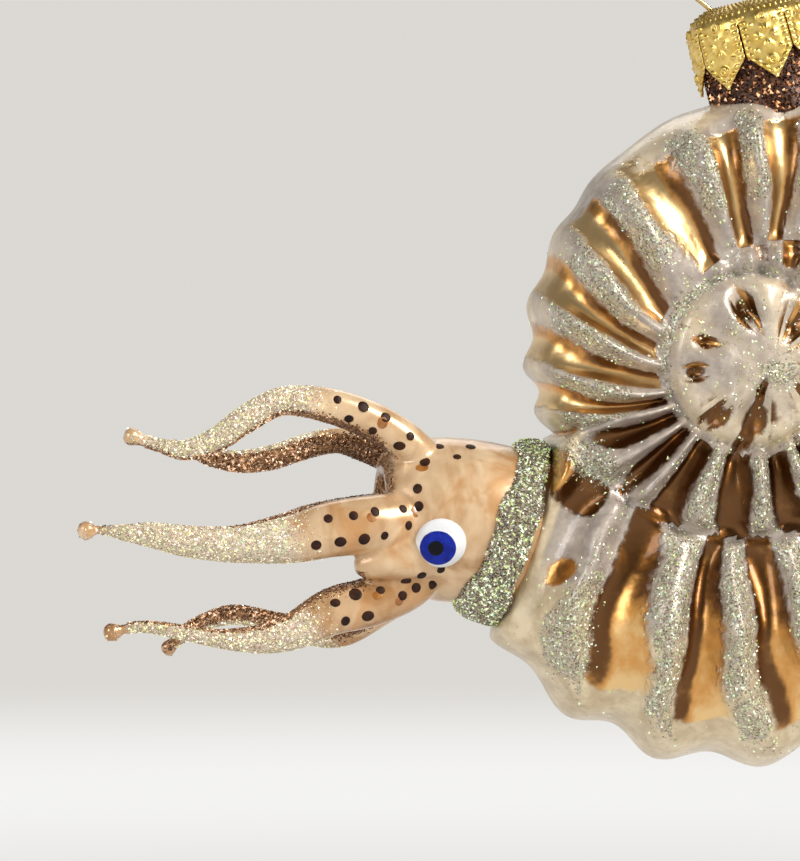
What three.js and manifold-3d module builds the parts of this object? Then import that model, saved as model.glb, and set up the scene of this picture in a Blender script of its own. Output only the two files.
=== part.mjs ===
// A blown-glass hanging ornament in the shape of a nautilus with its head and arms out.
// Millimetres, +Z up, head towards -X, near side towards -Y.
// The origin is the hang point: the highest inside point of the wire loop.
import * as THREE from "three";
import { mergeVertices } from "three/addons/utils/BufferGeometryUtils.js";
import Module from "manifold-3d";

const wasm = await Module();
wasm.setup();

// ---- driving dimensions ----
const gap = 0.3;

// coiled shell, angles in degrees from +X towards +Z, growing from the mouth back into the coil
const shellCentre = new THREE.Vector3(2.75, 0, -65.25);
const widestRadius = 59;
const widestAngle = 267;
const coilRate = 0.0023;
const mouthNarrowing = 0.06;
const mouthFlattening = 0.25;
const mouthAngleSpan = 41;
const cheekRise = 1.9;
const cheekAngle = 550;
const cheekSpan = 35;
const notchAngle = 201.5;
const lipTop = [-27.1, -76.9];
const lipBottom = [-35.8, -105.3];
const bossRadius = 12.3;
const bossHeight = 15.8;
const seamHeight = 13.6;
const widestHalfDepth = 20.6;
const mouthHalfDepth = 14.5;
const crestPlace = 0.55;
const crestPower = 2.4;
const innerTurnSwell = 1.6;
const innerTurnRoom = 9;
const ribRelief = 1.5;
const scallopAngle = 250;
const scallopSpan = 110;
const ribAngles = [
  232.6, 253.6, 267, 281.6, 298.9, 316.2, 333.6, 350.9, 368.2, 385.5, 402.9, 420.2, 437.5, 453.6,
  468.7, 491.9, 507.7, 526, 542, 554, 572, 587,
];
const columnsPerRib = 4;
const edgeInset = 0.12;
const mouthColumns = 6;
const bossRings = 2;
const flankRings = 6;
const glassWall = 2.4;
const cavityColumns = 28;
const cavityRings = 7;
const cavitySpan = 356;

// neck, cap and wire, measured along an axis that leans towards the head
const capLean = THREE.MathUtils.degToRad(15);
const capPoint = new THREE.Vector3(3.6, 0, -20.9);
const neckRadius = 8.8;
const neckBore = 7.2;
const neckRange = [-12, 4.9];
const capInner = 9.15;
const capOuter = 9.7;
const capTop = 8.3;
const capSheet = 0.55;
const crownDrop = 0.5;
const shoulderRun = 3.2;
const shoulderDrop = 2.5;
const shoulderRound = 0.6;
const petalCount = 8;
const petalTip = -3.9;
const petalCorner = 0;
const slitTop = 5.3;
const slitWidth = 0.5;
const loopRadius = 7.7;
const wireRadius = 0.4;
const loopReach = THREE.MathUtils.degToRad(134);
const loopSteps = 18;
const wireSteps = 42;
const legSpread = 4.2;
const legSplay = 0.5;
const legFoot = 0.5;
const legWaist = 5.3;
const legShoulder = 7.3;

// head sections from the shell's mouth to the rim round the mouth:
// x, z, half height, half depth, tilt in degrees
const headSections = [
  [-31.2, -91.0, 12.1, 11.6, 17],
  [-34.6, -89.8, 12.1, 11.7, 22],
  [-38.6, -89.2, 12.3, 12.0, 20],
  [-44.4, -88.3, 11.6, 11.5, 6],
  [-48.6, -88.2, 10.6, 10.6, 0],
  [-51.4, -88.2, 8.8, 9.2, 0],
  [-52.2, -88.2, 6.6, 7.0, 0],
  [-49.5, -88.2, 4.8, 5.0, 0],
];
const headColumns = 24;
const headRows = 13;
const eyeRadius = 3.65;
const eyeRise = 1.75;
const eyePlace = [-45.6, -10.3, -92.1];
const eyePitch = 74;
const eyeYaw = -7;
const collarRows = 8;
const collarWidth = 5.6;
const collarThick = 1.5;
const collarEdge = 0.8;
// half height, half depth and tilt of the collar's first and last sections
const collarAtLip = [13.3, 13.0, 17];
const collarAtHead = [12.2, 12.0, 22];
const collarOverlap = 0.1;

// arms: x, y, z and radius along each centreline, the last row is the middle of the ball at the tip
const arms = {
  arm_upper_near: [
    [-46.5, -4.5, -79.5, 3.0],
    [-53.5, -5.5, -74.7, 2.8],
    [-60.3, -6.0, -72.2, 2.6],
    [-67.2, -6.0, -71.6, 2.1],
    [-72.7, -5.8, -74.4, 2.05],
    [-76.4, -5.6, -77.0, 1.85],
    [-81.0, -5.5, -78.6, 1.5],
    [-84.8, -5.5, -77.9, 1.1],
    [-88.8, -5.5, -76.7, 1.5],
  ],
  arm_upper_far: [
    [-46.0, 4.5, -81.0, 2.4],
    [-54.2, 6.0, -78.0, 2.1],
    [-57.6, 6.6, -77.2, 1.9],
    [-62.0, 7.0, -78.1, 1.8],
    [-67.0, 7.0, -79.7, 1.85],
    [-71.4, 6.8, -80.3, 1.7],
    [-75.6, 6.5, -79.8, 1.4],
    [-79.0, 6.2, -78.7, 1.1],
    [-81.6, 6.0, -78.2, 1.3],
  ],
  arm_middle_near: [
    [-46.0, -3.5, -88.4, 3.2],
    [-50.0, -6.0, -88.7, 3.9],
    [-54.8, -9.0, -89.3, 4.4],
    [-60.5, -9.8, -90.0, 4.2],
    [-66.0, -10.0, -91.3, 3.6],
    [-73.4, -9.8, -92.1, 2.75],
    [-80.7, -9.4, -91.7, 2.35],
    [-86.4, -9.0, -90.7, 1.9],
    [-90.0, -8.8, -90.4, 1.3],
    [-93.2, -8.6, -90.0, 0.8],
    [-95.6, -8.5, -90.1, 1.55],
  ],
  arm_middle_far: [
    [-46.0, 3.5, -88.4, 3.2],
    [-50.0, 6.0, -88.7, 3.9],
    [-54.0, 9.0, -89.2, 4.1],
    [-60.0, 10.0, -89.9, 3.7],
    [-65.5, 10.3, -91.0, 3.0],
    [-71.5, 10.2, -91.8, 2.3],
    [-77.5, 9.8, -91.5, 1.7],
    [-81.0, 9.5, -91.0, 1.2],
    [-83.6, 9.3, -90.8, 1.35],
  ],
  arm_lower_near: [
    [-47.0, -4.5, -97.0, 4.0],
    [-54.2, -6.0, -100.4, 3.7],
    [-59.9, -6.6, -101.8, 3.55],
    [-65.4, -7.0, -104.5, 2.85],
    [-70.6, -7.0, -105.7, 2.2],
    [-76.6, -6.8, -105.6, 1.4],
    [-82.1, -6.6, -104.6, 1.2],
    [-87.8, -6.5, -103.9, 0.95],
    [-91.7, -6.5, -104.7, 1.5],
  ],
  arm_lower_far: [
    [-45.5, 4.5, -96.5, 3.2],
    [-52.4, 6.0, -102.4, 2.7],
    [-57.0, 6.6, -105.3, 2.4],
    [-62.2, 7.0, -105.2, 2.0],
    [-67.4, 7.0, -103.6, 1.6],
    [-73.0, 6.8, -102.6, 1.5],
    [-78.2, 6.5, -104.2, 1.25],
    [-80.9, 6.2, -106.1, 1.1],
    [-82.3, 6.0, -107.5, 1.35],
  ],
};
const armColumns = 8;
const armRows = 23;
const armEndTaper = 0.85;

// ---- helpers ----
const radians = THREE.MathUtils.degToRad;
const mix = THREE.MathUtils.lerp;

// A sphere pulled to shape: place(around, along) gives each vertex, both from 0 to 1.
function loft(columns, rows, place) {
  const geometry = new THREE.SphereGeometry(1, columns, rows);
  const position = geometry.attributes.position;
  for (let row = 0; row <= rows; row++) {
    for (let column = 0; column <= columns; column++) {
      const point = place((column % columns) / columns, row / rows);
      position.setXYZ(row * (columns + 1) + column, point.x, point.y, point.z);
    }
  }
  return geometry;
}

function solidOf(geometry) {
  const bare = geometry.clone();
  bare.deleteAttribute("normal");
  bare.deleteAttribute("uv");
  const merged = mergeVertices(bare, 1e-4);
  return new wasm.Manifold(
    new wasm.Mesh({
      numProp: 3,
      vertProperties: new Float32Array(merged.attributes.position.array),
      triVerts: new Uint32Array(merged.index.array),
    }),
  );
}

function geometryOf(solid) {
  const mesh = solid.getMesh();
  const geometry = new THREE.BufferGeometry();
  geometry.setAttribute("position", new THREE.BufferAttribute(mesh.vertProperties, 3));
  geometry.setIndex(new THREE.BufferAttribute(mesh.triVerts, 1));
  geometry.computeVertexNormals();
  return geometry;
}

function named(name, geometry, color, roughness, metalness) {
  const material = new THREE.MeshStandardMaterial({ color, roughness, metalness });
  const mesh = new THREE.Mesh(geometry, material);
  mesh.name = name;
  return mesh;
}

// ---- coiled shell ----
// The coil shrinks evenly behind its widest point and narrows a little towards the mouth.
function coilRadius(angle) {
  const back = angle - widestAngle;
  if (back < 0) return widestRadius * (1 - mouthNarrowing * (back / mouthAngleSpan) ** 2);
  const cheek = cheekRise * Math.exp(-(((angle - cheekAngle) / cheekSpan) ** 2));
  return widestRadius * Math.exp(-coilRate * back) + cheek;
}

// The straight lip of the shell's mouth, as a distance from the coil's centre.
function lipRadius(angle) {
  const [x, z] = [lipTop[0] - shellCentre.x, lipTop[1] - shellCentre.z];
  const [alongX, alongZ] = [lipBottom[0] - lipTop[0], lipBottom[1] - lipTop[1]];
  const [rayX, rayZ] = [Math.cos(radians(angle)), Math.sin(radians(angle))];
  return (x * alongZ - z * alongX) / (rayX * alongZ - rayZ * alongX);
}

function edgeRadius(angle) {
  const rim = coilRadius(angle);
  return angle < widestAngle - mouthAngleSpan + 1 ? Math.min(rim, lipRadius(angle)) : rim;
}

function halfDepth(angle) {
  const back = angle - widestAngle;
  const opening = widestHalfDepth * (1 - mouthFlattening * (back / mouthAngleSpan) ** 2);
  if (back < 0) return Math.max(mouthHalfDepth, opening);
  return widestHalfDepth * Math.sqrt(coilRadius(angle) / widestRadius);
}

// Half the shell's thickness at a radius: a boss, the inner turn, the seam and the outer turn.
function shellHeight(angle, radius) {
  const rim = coilRadius(angle);
  const seam = Math.max(coilRadius(angle + 360), bossRadius);
  if (radius < bossRadius) {
    const dome = Math.sqrt(1 - (radius / bossRadius) ** 2);
    return mix(seamHeight, bossHeight, dome);
  }
  if (radius < seam) {
    const across = (seam - radius) / (seam - bossRadius);
    const swell = innerTurnSwell * Math.min(1, (seam - bossRadius) / innerTurnRoom);
    return seamHeight + swell * Math.sin(Math.PI * across);
  }
  const inward = Math.max(0, (rim - radius) / (rim - seam));
  const crest = halfDepth(angle);
  if (inward < crestPlace) return crest * Math.sqrt(1 - (1 - inward / crestPlace) ** crestPower);
  const fall = THREE.MathUtils.smoothstep(inward, crestPlace, 1);
  return mix(crest, seamHeight, fall);
}

// Columns of the shell stand on each rib, in each groove and on both flanks between them.
function shellColumns() {
  const last = notchAngle + 360;
  const first = ribAngles[0];
  const stops = [];
  for (let step = 0; step < mouthColumns; step++) {
    stops.push([mix(notchAngle, first, step / mouthColumns), 0]);
  }
  for (let rib = 0; rib + 1 < ribAngles.length; rib++) {
    for (let step = 0; step < columnsPerRib; step++) {
      const angle = mix(ribAngles[rib], ribAngles[rib + 1], step / columnsPerRib);
      const wave = Math.cos((2 * Math.PI * step) / columnsPerRib);
      if (angle < last - 1) stops.push([angle, wave]);
    }
  }
  return stops;
}

function glassOutside() {
  const stops = shellColumns();
  const ringCount = bossRings + flankRings + 1;
  const place = (around, along) => {
    const [angle, wave] = stops[Math.round(around * stops.length)];
    const side = along < 0.5 ? -1 : 1;
    const ring = Math.round(Math.min(along, 1 - along) * 2 * ringCount);
    const scallop = ribRelief * wave * Math.exp(-(((angle - scallopAngle) / scallopSpan) ** 2));
    const edge = edgeRadius(angle) + scallop;
    const onFlank = ring > bossRings;
    const atEdge = ring === ringCount;
    let radius = (ring * bossRadius) / bossRings;
    if (onFlank) {
      const outward = Math.sin((Math.PI / 2) * Math.min(1, (ring - bossRings) / (flankRings + edgeInset)));
      radius = mix(bossRadius, edge, outward);
    }
    const relief = onFlank && !atEdge ? 0.5 * ribRelief * wave : 0;
    const height = atEdge ? 0 : shellHeight(angle, Math.min(radius, edge - edgeInset)) + relief;
    return new THREE.Vector3(
      shellCentre.x + radius * Math.cos(radians(angle)),
      side * Math.max(height, 0),
      shellCentre.z + radius * Math.sin(radians(angle)),
    );
  };
  return solidOf(loft(stops.length, 2 * ringCount, place));
}

// The hollow follows the shell smoothly, a wall's thickness in from it.
function glassHollow() {
  const start = notchAngle + (360 - cavitySpan) / 2;
  const place = (around, along) => {
    const angle = start + around * cavitySpan;
    const side = along < 0.5 ? -1 : 1;
    const ring = Math.round(Math.min(along, 1 - along) * 2 * cavityRings);
    const edge = edgeRadius(angle) - glassWall - ribRelief;
    const radius = edge * Math.sin(((Math.PI / 2) * ring) / cavityRings);
    const height = ring === cavityRings ? 0 : shellHeight(angle, radius) - glassWall;
    return new THREE.Vector3(
      shellCentre.x + radius * Math.cos(radians(angle)),
      side * Math.max(height, edgeInset),
      shellCentre.z + radius * Math.sin(radians(angle)),
    );
  };
  return solidOf(loft(cavityColumns, 2 * cavityRings, place));
}

// ---- neck, cap and wire share the leaning axis ----
function onCapAxis(geometry) {
  geometry.rotateX(Math.PI / 2);
  geometry.rotateY(-capLean);
  geometry.translate(capPoint.x, capPoint.y, capPoint.z);
  return geometry;
}

function turned(profile, segments) {
  return solidOf(onCapAxis(new THREE.LatheGeometry(profile, segments)));
}

function cylinderProfile(radius, bottom, top) {
  return [
    new THREE.Vector2(0, bottom),
    new THREE.Vector2(radius, bottom),
    new THREE.Vector2(radius, top),
    new THREE.Vector2(0, top),
  ];
}

function glassShell() {
  const neck = turned(cylinderProfile(neckRadius, ...neckRange), 28);
  const bore = turned(cylinderProfile(neckBore, neckRange[0] - 2 * glassWall, neckRange[1] + 1), 24);
  const glass = glassOutside().add(neck).subtract(glassHollow()).subtract(bore);
  return named("glass_shell", geometryOf(glass), 0xcdb491, 0.22, 0.45);
}

function capSolid() {
  const [crown, shoulder] = [capTop - crownDrop, capTop - shoulderDrop];
  const skirt = [
    new THREE.Vector2(0, capTop),
    new THREE.Vector2(capOuter - shoulderRun, crown),
    new THREE.Vector2(capOuter - shoulderRound, shoulder + shoulderRound),
    new THREE.Vector2(capOuter, shoulder - shoulderRound),
    new THREE.Vector2(capOuter, petalTip),
    new THREE.Vector2(capInner, petalTip),
    new THREE.Vector2(capInner, shoulder - shoulderRound),
    new THREE.Vector2(capOuter - shoulderRun, crown - capSheet),
    new THREE.Vector2(0, capTop - capSheet),
  ].reverse();
  let cap = turned(skirt, 40);
  for (let petal = 0; petal < petalCount; petal++) {
    const turn = (2 * Math.PI * (petal + 0.5)) / petalCount;
    cap = cap.subtract(petalCut(turn));
  }
  return cap.subtract(wireSolid(wireRadius + gap));
}

// The notch between two petals: a narrow slit that opens into the gap between their points.
function petalCut(turn) {
  const halfSlit = slitWidth / 2;
  const halfGap = (Math.PI * capOuter) / petalCount;
  const outline = new THREE.Shape([
    new THREE.Vector2(-halfSlit, slitTop),
    new THREE.Vector2(-halfSlit, petalCorner),
    new THREE.Vector2(-halfGap, petalTip - gap),
    new THREE.Vector2(halfGap, petalTip - gap),
    new THREE.Vector2(halfSlit, petalCorner),
    new THREE.Vector2(halfSlit, slitTop),
  ]);
  const cut = new THREE.ExtrudeGeometry(outline, { depth: capOuter, bevelEnabled: false });
  cut.translate(0, 0, capOuter / 2);
  cut.rotateY(turn);
  return solidOf(onCapAxis(cut));
}

// One wire: a leg up through the cap, round the loop and down again.
function wireSolid(radius) {
  const up = new THREE.Vector3(-Math.sin(capLean), 0, Math.cos(capLean));
  const across = new THREE.Vector3(Math.cos(capLean), 0, Math.sin(capLean));
  const loopCentre = new THREE.Vector3(0, 0, wireRadius - loopRadius).sub(capPoint);
  const [middle, height] = [loopCentre.dot(across), loopCentre.dot(up)];
  const at = (sideways, upward) =>
    capPoint.clone().addScaledVector(across, sideways).addScaledVector(up, upward);
  const leg = (side) => [
    at(side * legSpread, legFoot),
    at(side * legSpread, legWaist),
    at(side * (legSpread + legSplay), legShoulder),
  ];
  const loop = [];
  for (let step = 0; step <= loopSteps; step++) {
    const turn = mix(-loopReach, loopReach, step / loopSteps);
    loop.push(at(middle + loopRadius * Math.sin(turn), height + loopRadius * Math.cos(turn)));
  }
  const points = [...leg(-1), ...loop, ...leg(1).reverse()];
  const section = new THREE.Shape();
  section.absarc(0, 0, radius, 0, 2 * Math.PI, false);
  const wire = new THREE.ExtrudeGeometry(section, {
    steps: wireSteps,
    curveSegments: 4,
    bevelEnabled: false,
    extrudePath: new THREE.CatmullRomCurve3(points, false, "centripetal"),
  });
  return solidOf(wire);
}

// ---- head, collar and eyes ----
// Between two head sections every measure changes evenly.
function headSection(along) {
  const place = along * (headSections.length - 1);
  const first = Math.min(Math.floor(place), headSections.length - 2);
  return headSections[first].map((value, i) => mix(value, headSections[first + 1][i], place - first));
}

// A point on the section: across is the depth, up leans with the section's tilt.
function sectionPoint([x, z, high, deep, tilt], around, grow) {
  const turn = 2 * Math.PI * around;
  const lean = radians(tilt);
  const up = (high + grow) * Math.cos(turn);
  return new THREE.Vector3(
    x + up * Math.sin(lean),
    -(deep + grow) * Math.sin(turn),
    z + up * Math.cos(lean),
  );
}

// A grown head is the room that its neighbours leave free, so its mouth is filled level.
function headSolid(grow) {
  const rim = Math.min(...headSections.map(([x]) => x)) - grow;
  const rimPlace = (headSections.length - 3) / (headSections.length - 1);
  const rows = headRows;
  const place = (around, along) => {
    const row = Math.round(along * rows);
    const step = THREE.MathUtils.clamp((row - 1) / (rows - 2), 0, 1);
    const section = headSection(step);
    if (grow > 0 && step > rimPlace) section[0] = rim;
    if (row === 0 || row === rows) return new THREE.Vector3(section[0], 0, section[1]);
    return sectionPoint(section, around, grow);
  };
  return solidOf(loft(headColumns, rows, place));
}

// The half space in front of the shell's lip, so that nothing reaches back into the shell.
function beforeLip(clear) {
  const block = new THREE.BoxGeometry(120, 80, 120);
  const lean = Math.atan2(lipTop[0] - lipBottom[0], lipTop[1] - lipBottom[1]);
  block.translate(-60 - clear, 0, 0);
  block.rotateY(lean);
  block.translate((lipTop[0] + lipBottom[0]) / 2, 0, (lipTop[1] + lipBottom[1]) / 2);
  return solidOf(block);
}

function collarSolid() {
  const rows = collarRows;
  const outer = loft(headColumns, rows, (around, along) => {
    const row = Math.round(along * rows);
    const [x, z] = collarSection(row < rows / 2 ? 0 : 1);
    if (row === 0 || row === rows) return new THREE.Vector3(x, 0, z);
    const step = (row - 1) / (rows - 2);
    const bulge = Math.sqrt(1 - (2 * step - 1) ** 4);
    return sectionPoint(collarSection(step), around, mix(collarEdge, collarThick, bulge));
  });
  return solidOf(outer).subtract(headSolid(gap));
}

// Sections across the collar, from the lip towards the head.
function collarSection(step) {
  const lean = Math.atan2(lipTop[0] - lipBottom[0], lipTop[1] - lipBottom[1]);
  const reach = gap - collarOverlap + step * collarWidth;
  const x = (lipTop[0] + lipBottom[0]) / 2 - reach * Math.cos(lean);
  const z = (lipTop[1] + lipBottom[1]) / 2 + reach * Math.sin(lean);
  return [x, z, ...collarAtLip.map((value, i) => mix(value, collarAtHead[i], step))];
}

function eyeSolid(side, head) {
  const [x, y, z] = eyePlace;
  const ball = new THREE.SphereGeometry(1, 16, 8);
  ball.scale(eyeRadius, eyeRadius, eyeRise);
  ball.rotateX(radians(eyePitch));
  ball.rotateZ(radians(eyeYaw));
  ball.translate(x, y, z);
  if (side > 0) {
    ball.scale(1, -1, 1);
    ball.index.array.reverse();
  }
  return solidOf(ball).subtract(head);
}

// ---- arms ----
// The centreline runs on through the middle of the ball to its far side.
function armPath(rows) {
  const points = rows.map(([x, y, z]) => new THREE.Vector3(x, y, z));
  const [before, middle] = points.slice(-2);
  const onward = middle.clone().sub(before).normalize();
  middle.addScaledVector(onward, rows[rows.length - 1][3]);
  return new THREE.CatmullRomCurve3(points);
}

function armGeometry(rows) {
  const path = armPath(rows);
  const ball = rows[rows.length - 1][3];
  const frames = path.computeFrenetFrames(armRows, false);
  const length = path.getLength();
  const place = (around, along) => {
    const row = Math.round(along * armRows);
    const u = row / armRows;
    const knot = path.getUtoTmapping(u) * (rows.length - 1);
    const first = Math.min(Math.floor(knot), rows.length - 2);
    const next = first + 2 < rows.length ? rows[first + 1][3] : rows[first][3] * armEndTaper;
    let radius = mix(rows[first][3], next, knot - first);
    const toEnd = (1 - u) * length;
    if (toEnd < 2 * ball) radius = Math.max(radius, Math.sqrt(ball ** 2 - (toEnd - ball) ** 2));
    if (row === 0 || row === armRows) radius = 0;
    const turn = 2 * Math.PI * around;
    return path
      .getPointAt(u)
      .addScaledVector(frames.normals[row], radius * Math.cos(turn))
      .addScaledVector(frames.binormals[row], -radius * Math.sin(turn));
  };
  return loft(armColumns, armRows, place);
}

// ---- the ornament ----
const ornament = new THREE.Group();
const head = headSolid(0).intersect(beforeLip(gap));
const headClear = headSolid(gap);
ornament.add(glassShell());
ornament.add(named("glass_head", geometryOf(head), 0xc99a66, 0.25, 0.1));
ornament.add(named("glitter_collar", geometryOf(collarSolid()), 0x8f9488, 0.5, 0.2));
ornament.add(named("eye_near", geometryOf(eyeSolid(-1, headClear)), 0xf2f2f2, 0.1, 0));
ornament.add(named("eye_far", geometryOf(eyeSolid(1, headClear)), 0xf2f2f2, 0.1, 0));
for (const [name, rows] of Object.entries(arms)) {
  const arm = solidOf(armGeometry(rows)).subtract(headClear);
  ornament.add(named(name, geometryOf(arm), 0xd8bfa0, 0.35, 0.1));
}
ornament.add(named("cap", geometryOf(capSolid()), 0xd9a93a, 0.25, 0.9));
ornament.add(named("hanger_wire", geometryOf(wireSolid(wireRadius)), 0xb08d3f, 0.25, 0.9));

export default ornament;
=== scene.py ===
import math

import bmesh
import bpy
import numpy as np
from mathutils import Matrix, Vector
from mathutils.bvhtree import BVHTree


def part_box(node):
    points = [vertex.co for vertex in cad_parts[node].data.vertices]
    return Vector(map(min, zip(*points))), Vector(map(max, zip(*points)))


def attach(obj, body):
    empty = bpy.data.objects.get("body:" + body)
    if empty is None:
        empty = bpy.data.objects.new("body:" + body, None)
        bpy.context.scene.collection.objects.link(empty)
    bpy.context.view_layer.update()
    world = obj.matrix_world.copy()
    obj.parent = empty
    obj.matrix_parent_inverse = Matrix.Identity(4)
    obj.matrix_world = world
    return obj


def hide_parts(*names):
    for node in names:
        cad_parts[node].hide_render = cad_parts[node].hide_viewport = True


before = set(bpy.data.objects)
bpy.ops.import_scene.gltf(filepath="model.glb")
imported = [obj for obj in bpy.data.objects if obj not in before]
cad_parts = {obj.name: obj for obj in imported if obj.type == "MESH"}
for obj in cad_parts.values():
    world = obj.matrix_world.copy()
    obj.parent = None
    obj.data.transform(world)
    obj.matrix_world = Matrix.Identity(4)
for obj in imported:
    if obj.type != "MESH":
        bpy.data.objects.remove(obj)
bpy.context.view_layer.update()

mm = 0.001  # shapes are worked out in millimetres and stored in metres
rng = np.random.default_rng(7)


# small numpy helpers

def ramp(value, low, high):
    # 0 below low, 1 above high, and 3t^2 - 2t^3 between them
    t = np.clip((value - low) / (high - low), 0, 1)
    return t * t * (3 - 2 * t)


def blend(a, b, t):
    # a where t is 0, b where t is 1
    return a + (b - a) * t


def bell(value, middle, width):
    # e to the minus square of the distance from the middle in widths
    return np.exp(-(((value - middle) / width) ** 2))


def unit(vectors):
    # each vector divided by its length
    return vectors / np.maximum(np.linalg.norm(vectors, axis=-1, keepdims=True), 1e-12)


def through(knots, t):
    # Catmull-Rom curve through the knots, t from 0 at the first to 1 at the last
    knots = np.asarray(knots, float)
    last = len(knots) - 1
    place = np.clip(t, 0, 1) * last
    i = np.minimum(place.astype(int), last - 1)
    f = (place - i)[..., None]
    p0, p1 = knots[np.maximum(i - 1, 0)], knots[i]
    p2, p3 = knots[i + 1], knots[np.minimum(i + 2, last)]
    return 0.5 * (2 * p1 + (p2 - p0) * f + (2 * p0 - 5 * p1 + 4 * p2 - p3) * f ** 2
                  + (3 * p1 - p0 - 3 * p2 + p3) * f ** 3)


def corners(node):
    # a CAD node's lowest and highest corners, in millimetres
    low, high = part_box(node)
    return np.array(low) / mm, np.array(high) / mm


# meshes from arrays

def meshPiece(name, points, quads=None, tris=None, fields=None, smooth=True):
    # one mesh from whole arrays of points, four-sided and three-sided faces, with per-point fields
    quads = np.zeros((0, 4), np.int32) if quads is None else quads.reshape(-1, 4)
    tris = np.zeros((0, 3), np.int32) if tris is None else tris.reshape(-1, 3)
    halves = np.concatenate([quads[:, [0, 1, 2]], quads[:, [0, 2, 3]], tris])
    a, b, c = [points[halves[:, i]] for i in range(3)]
    if (a * np.cross(b, c)).sum() < 0:  # the faces look inwards, so they are turned round
        quads, tris = quads[:, ::-1], tris[:, ::-1]
    mesh = bpy.data.meshes.new(name)
    mesh.vertices.add(len(points))
    mesh.vertices.foreach_set("co", (points * mm).astype(np.float32).ravel())
    loops = np.concatenate([quads.ravel(), tris.ravel()]).astype(np.int32)
    sizes = np.concatenate([np.full(len(quads), 4), np.full(len(tris), 3)]).astype(np.int32)
    mesh.loops.add(len(loops))
    mesh.loops.foreach_set("vertex_index", loops)
    mesh.polygons.add(len(sizes))
    mesh.polygons.foreach_set("loop_start", np.concatenate([[0], np.cumsum(sizes)[:-1]]).astype(np.int32))
    mesh.polygons.foreach_set("loop_total", sizes)
    mesh.update(calc_edges=True)
    for field, values in (fields or {}).items():
        layer = mesh.attributes.new(field, "FLOAT", "POINT")
        layer.data.foreach_set("value", np.asarray(values, np.float32).ravel())
    mesh.polygons.foreach_set("use_smooth", np.full(len(sizes), smooth))
    piece = bpy.data.objects.new(name, mesh)
    bpy.context.scene.collection.objects.link(piece)
    return piece


def ballGrid(rows):
    # faces of a closed grid: rows of points going round, with a single point at each end
    count, around = rows.shape[:2]
    first, second = np.arange(around), np.roll(np.arange(around), -1)
    ring = 1 + np.arange(count - 3)[:, None] * around
    quads = np.stack([ring + first, ring + second, ring + around + second, ring + around + first], -1)
    last = 1 + (count - 2) * around
    start = np.stack([np.zeros_like(first), 1 + second, 1 + first], -1)
    end = np.stack([np.full_like(first, last), last - around + first, last - around + second], -1)
    points = np.concatenate([rows[0, :1], rows[1:-1].reshape(-1, 3), rows[-1, :1]])
    return points, quads.reshape(-1, 4), np.concatenate([start, end])


def ballField(values):
    # a per-point field in the same order as ballGrid's points
    return np.concatenate([values[0, :1], values[1:-1].ravel(), values[-1, :1]])


def loopGrid(rows):
    # faces of a closed ring of closed sections
    count, around = rows.shape[:2]
    i, j = np.meshgrid(np.arange(count), np.arange(around), indexing="ij")
    k, l = (i + 1) % count, (j + 1) % around
    quads = np.stack([i * around + j, i * around + l, k * around + l, k * around + j], -1)
    return rows.reshape(-1, 3), quads.reshape(-1, 4)


def tubeRows(path, radius, around, sideways):
    # a round section carried along a path: centre + r (cos a * side + sin a * top), ends closed
    tangent = unit(np.gradient(path, axis=0))
    side = unit(np.cross(tangent, np.asarray(sideways, float)))
    top = np.cross(side, tangent)
    turn = np.linspace(0, 2 * np.pi, around, endpoint=False)[None, :, None]
    ring = np.cos(turn) * side[:, None] + np.sin(turn) * top[:, None]
    return path[:, None] + radius[:, None, None] * ring, ring


def settle(piece, material, slot, *nodes):
    # the piece gets its finish, rides with the ornament and stands for the CAD nodes named
    piece.data.materials.append(material)
    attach(piece, "root")
    for node in nodes:
        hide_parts(node)


# shader maths

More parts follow.
